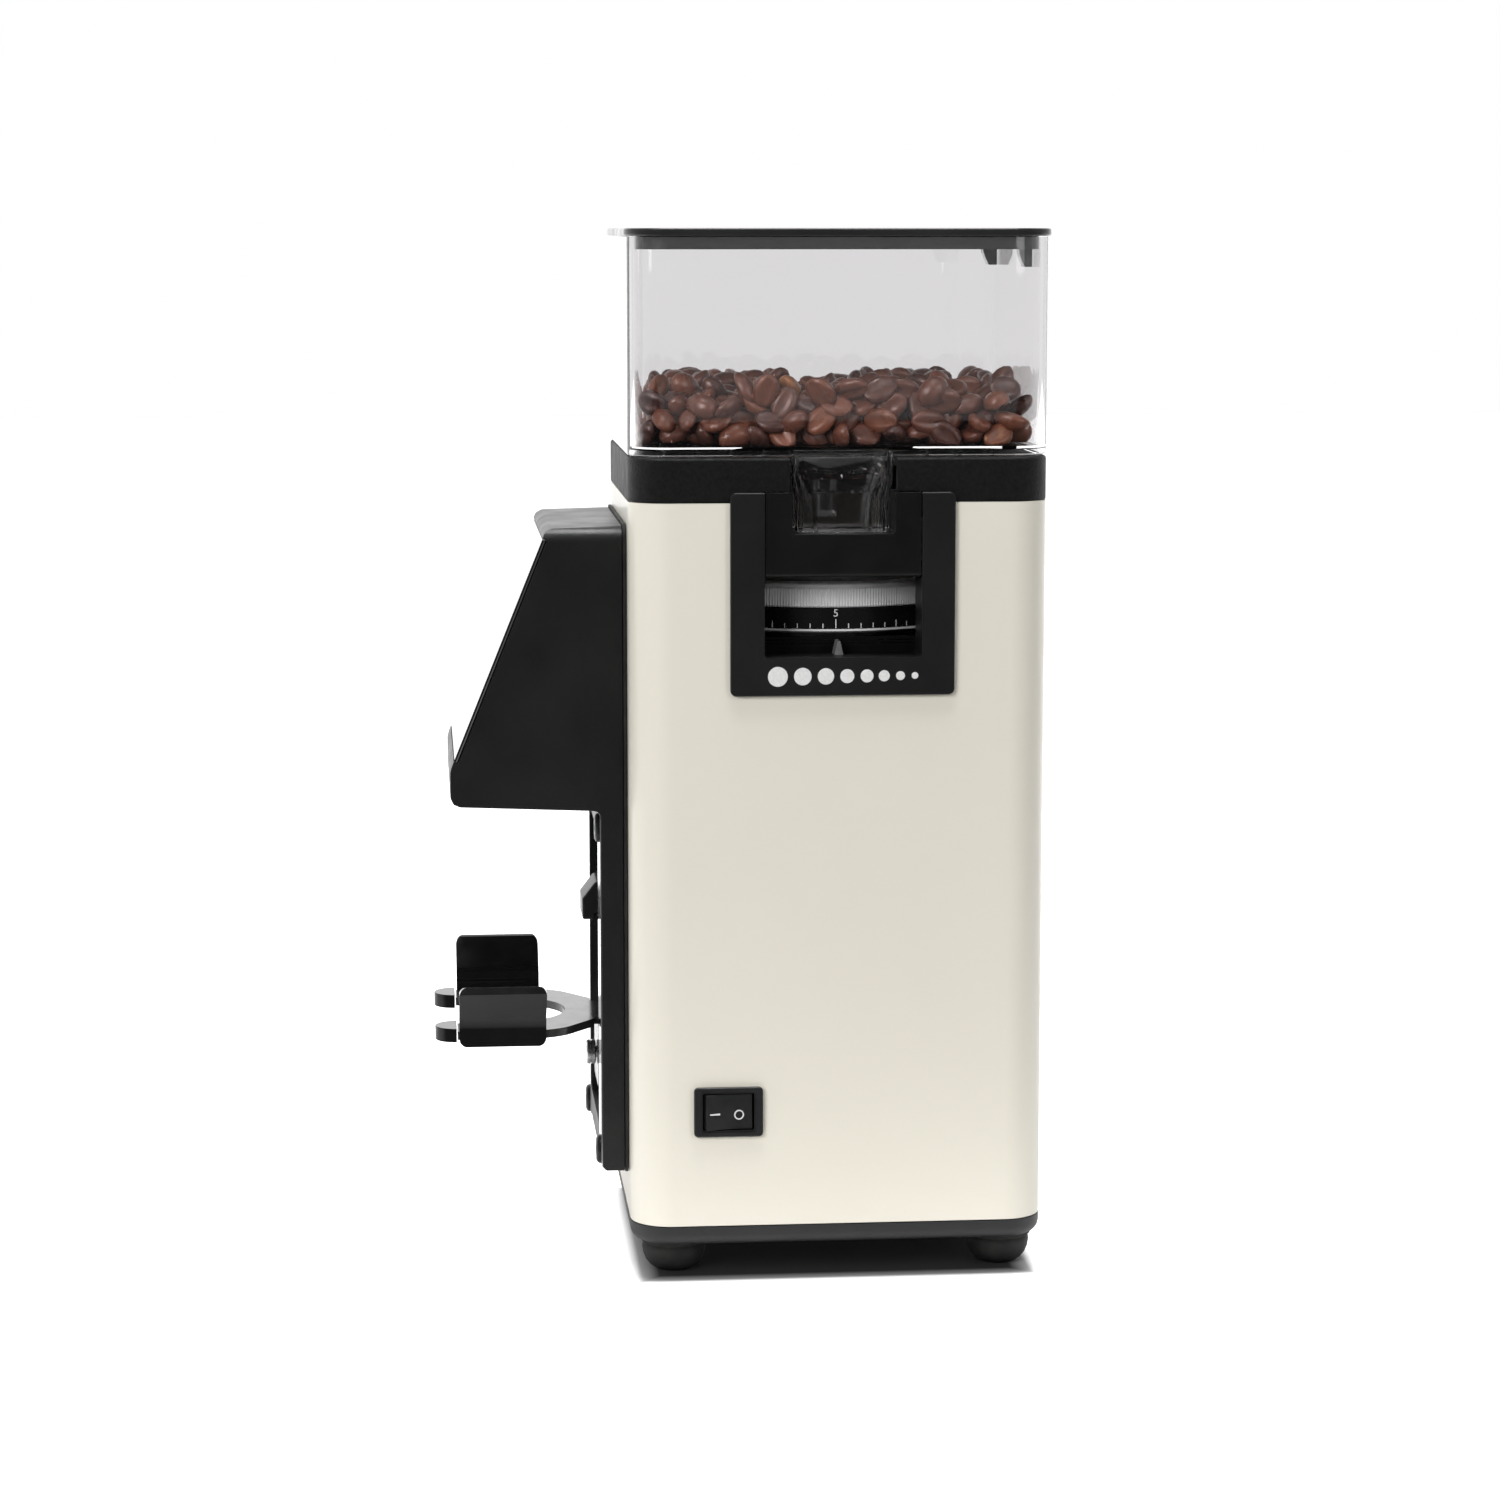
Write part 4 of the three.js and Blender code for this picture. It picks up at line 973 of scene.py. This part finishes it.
# ---- Lid ----
# A black lid with a polished edge and a finely grained top, a skirt that drops just inside the hopper's
# walls, and two hooks at the rear that hold it in place.
lid_black = finish("lid_black", (0.018, 0.018, 0.019), (0.025, 0.025, 0.026), 25, (0.16, 0.28, 20),
                   (0.4, 0.02, 0.2))
lid_low, lid_high = span("lid")
lid_bottom = hopper_high.z + 0.3
plate = body_block(-1, lid_bottom, lid_high.z)
bevel(plate, rim(plate, lambda p: p.z > lid_high.z - 0.01, lambda p: p.z < lid_bottom + 0.01), 0.7, 3)
plate = carve(plate, body_block(5, lid_high.z - 0.4, 400))
skirt = carve(body_block(3.1, 351, lid_bottom + 0.8), body_block(5.6, 340, lid_bottom))
plate = join(plate, skirt)
back = shell_high.y - 3.1
for x in (-42, 42):
    hook = prism([(back, lid_low.z), (back, 352), (back - 5, 352), (back - 5, 349.5), (back - 3, lid_low.z)],
                 x - 3, x + 3, 0)
    plate = join(plate, hook)
make("hopper_cover", plate, "hopper_lid", lid_black, ["lid"], 30)


# ---- Motor, burrs and chamber ----
# The works inside the housing: a cast chamber and end shields, ground burrs and shaft, stacked laminations
# with varnished copper windings, a zinc-plated frame and the wiring parts. They keep their CAD shapes.
inside = {
    "cast_aluminium": finish("cast_aluminium", (0.4, 0.4, 0.41), (0.5, 0.5, 0.51), 4, (0.42, 0.6, 6),
                             (0.7, 0.08, 0.6), 1.0),
    "hard_steel": finish("ground_steel", (0.46, 0.46, 0.48), (0.55, 0.55, 0.57), 3, 0.22,
                         (0.25, 0.01, 0.4, (1, 10, 1)), 1.0),
    "lamination": finish("lamination", (0.18, 0.18, 0.19), (0.27, 0.27, 0.28), 5, 0.5,
                         (0.5, 0.1, 0.8, (0.05, 0.05, 1)), 0.8),
    "copper": finish("varnished_copper", (0.32, 0.11, 0.04), (0.5, 0.2, 0.08), 2, 0.35,
                     (0.6, 0.15, 0.8, (0.1, 0.1, 1)), 0.8),
    "inner_plastic": finish("inner_plastic", 0.025, 0.036, 8, 0.45, (0.6, 0.04, 0.4)),
    "white_plastic": finish("white_plastic", (0.72, 0.71, 0.66), (0.78, 0.77, 0.72), 10, 0.45,
                            (0.6, 0.03, 0.3)),
    "steel": steel,
    "black_plastic": black_plastic,
}
for part in frame["record"]["subparts"]:
    node = frame["nodes"].get(part["node"])
    if node and part["material_slot"] in inside:
        node.data.materials.clear()
        node.data.materials.append(inside[part["material_slot"]])
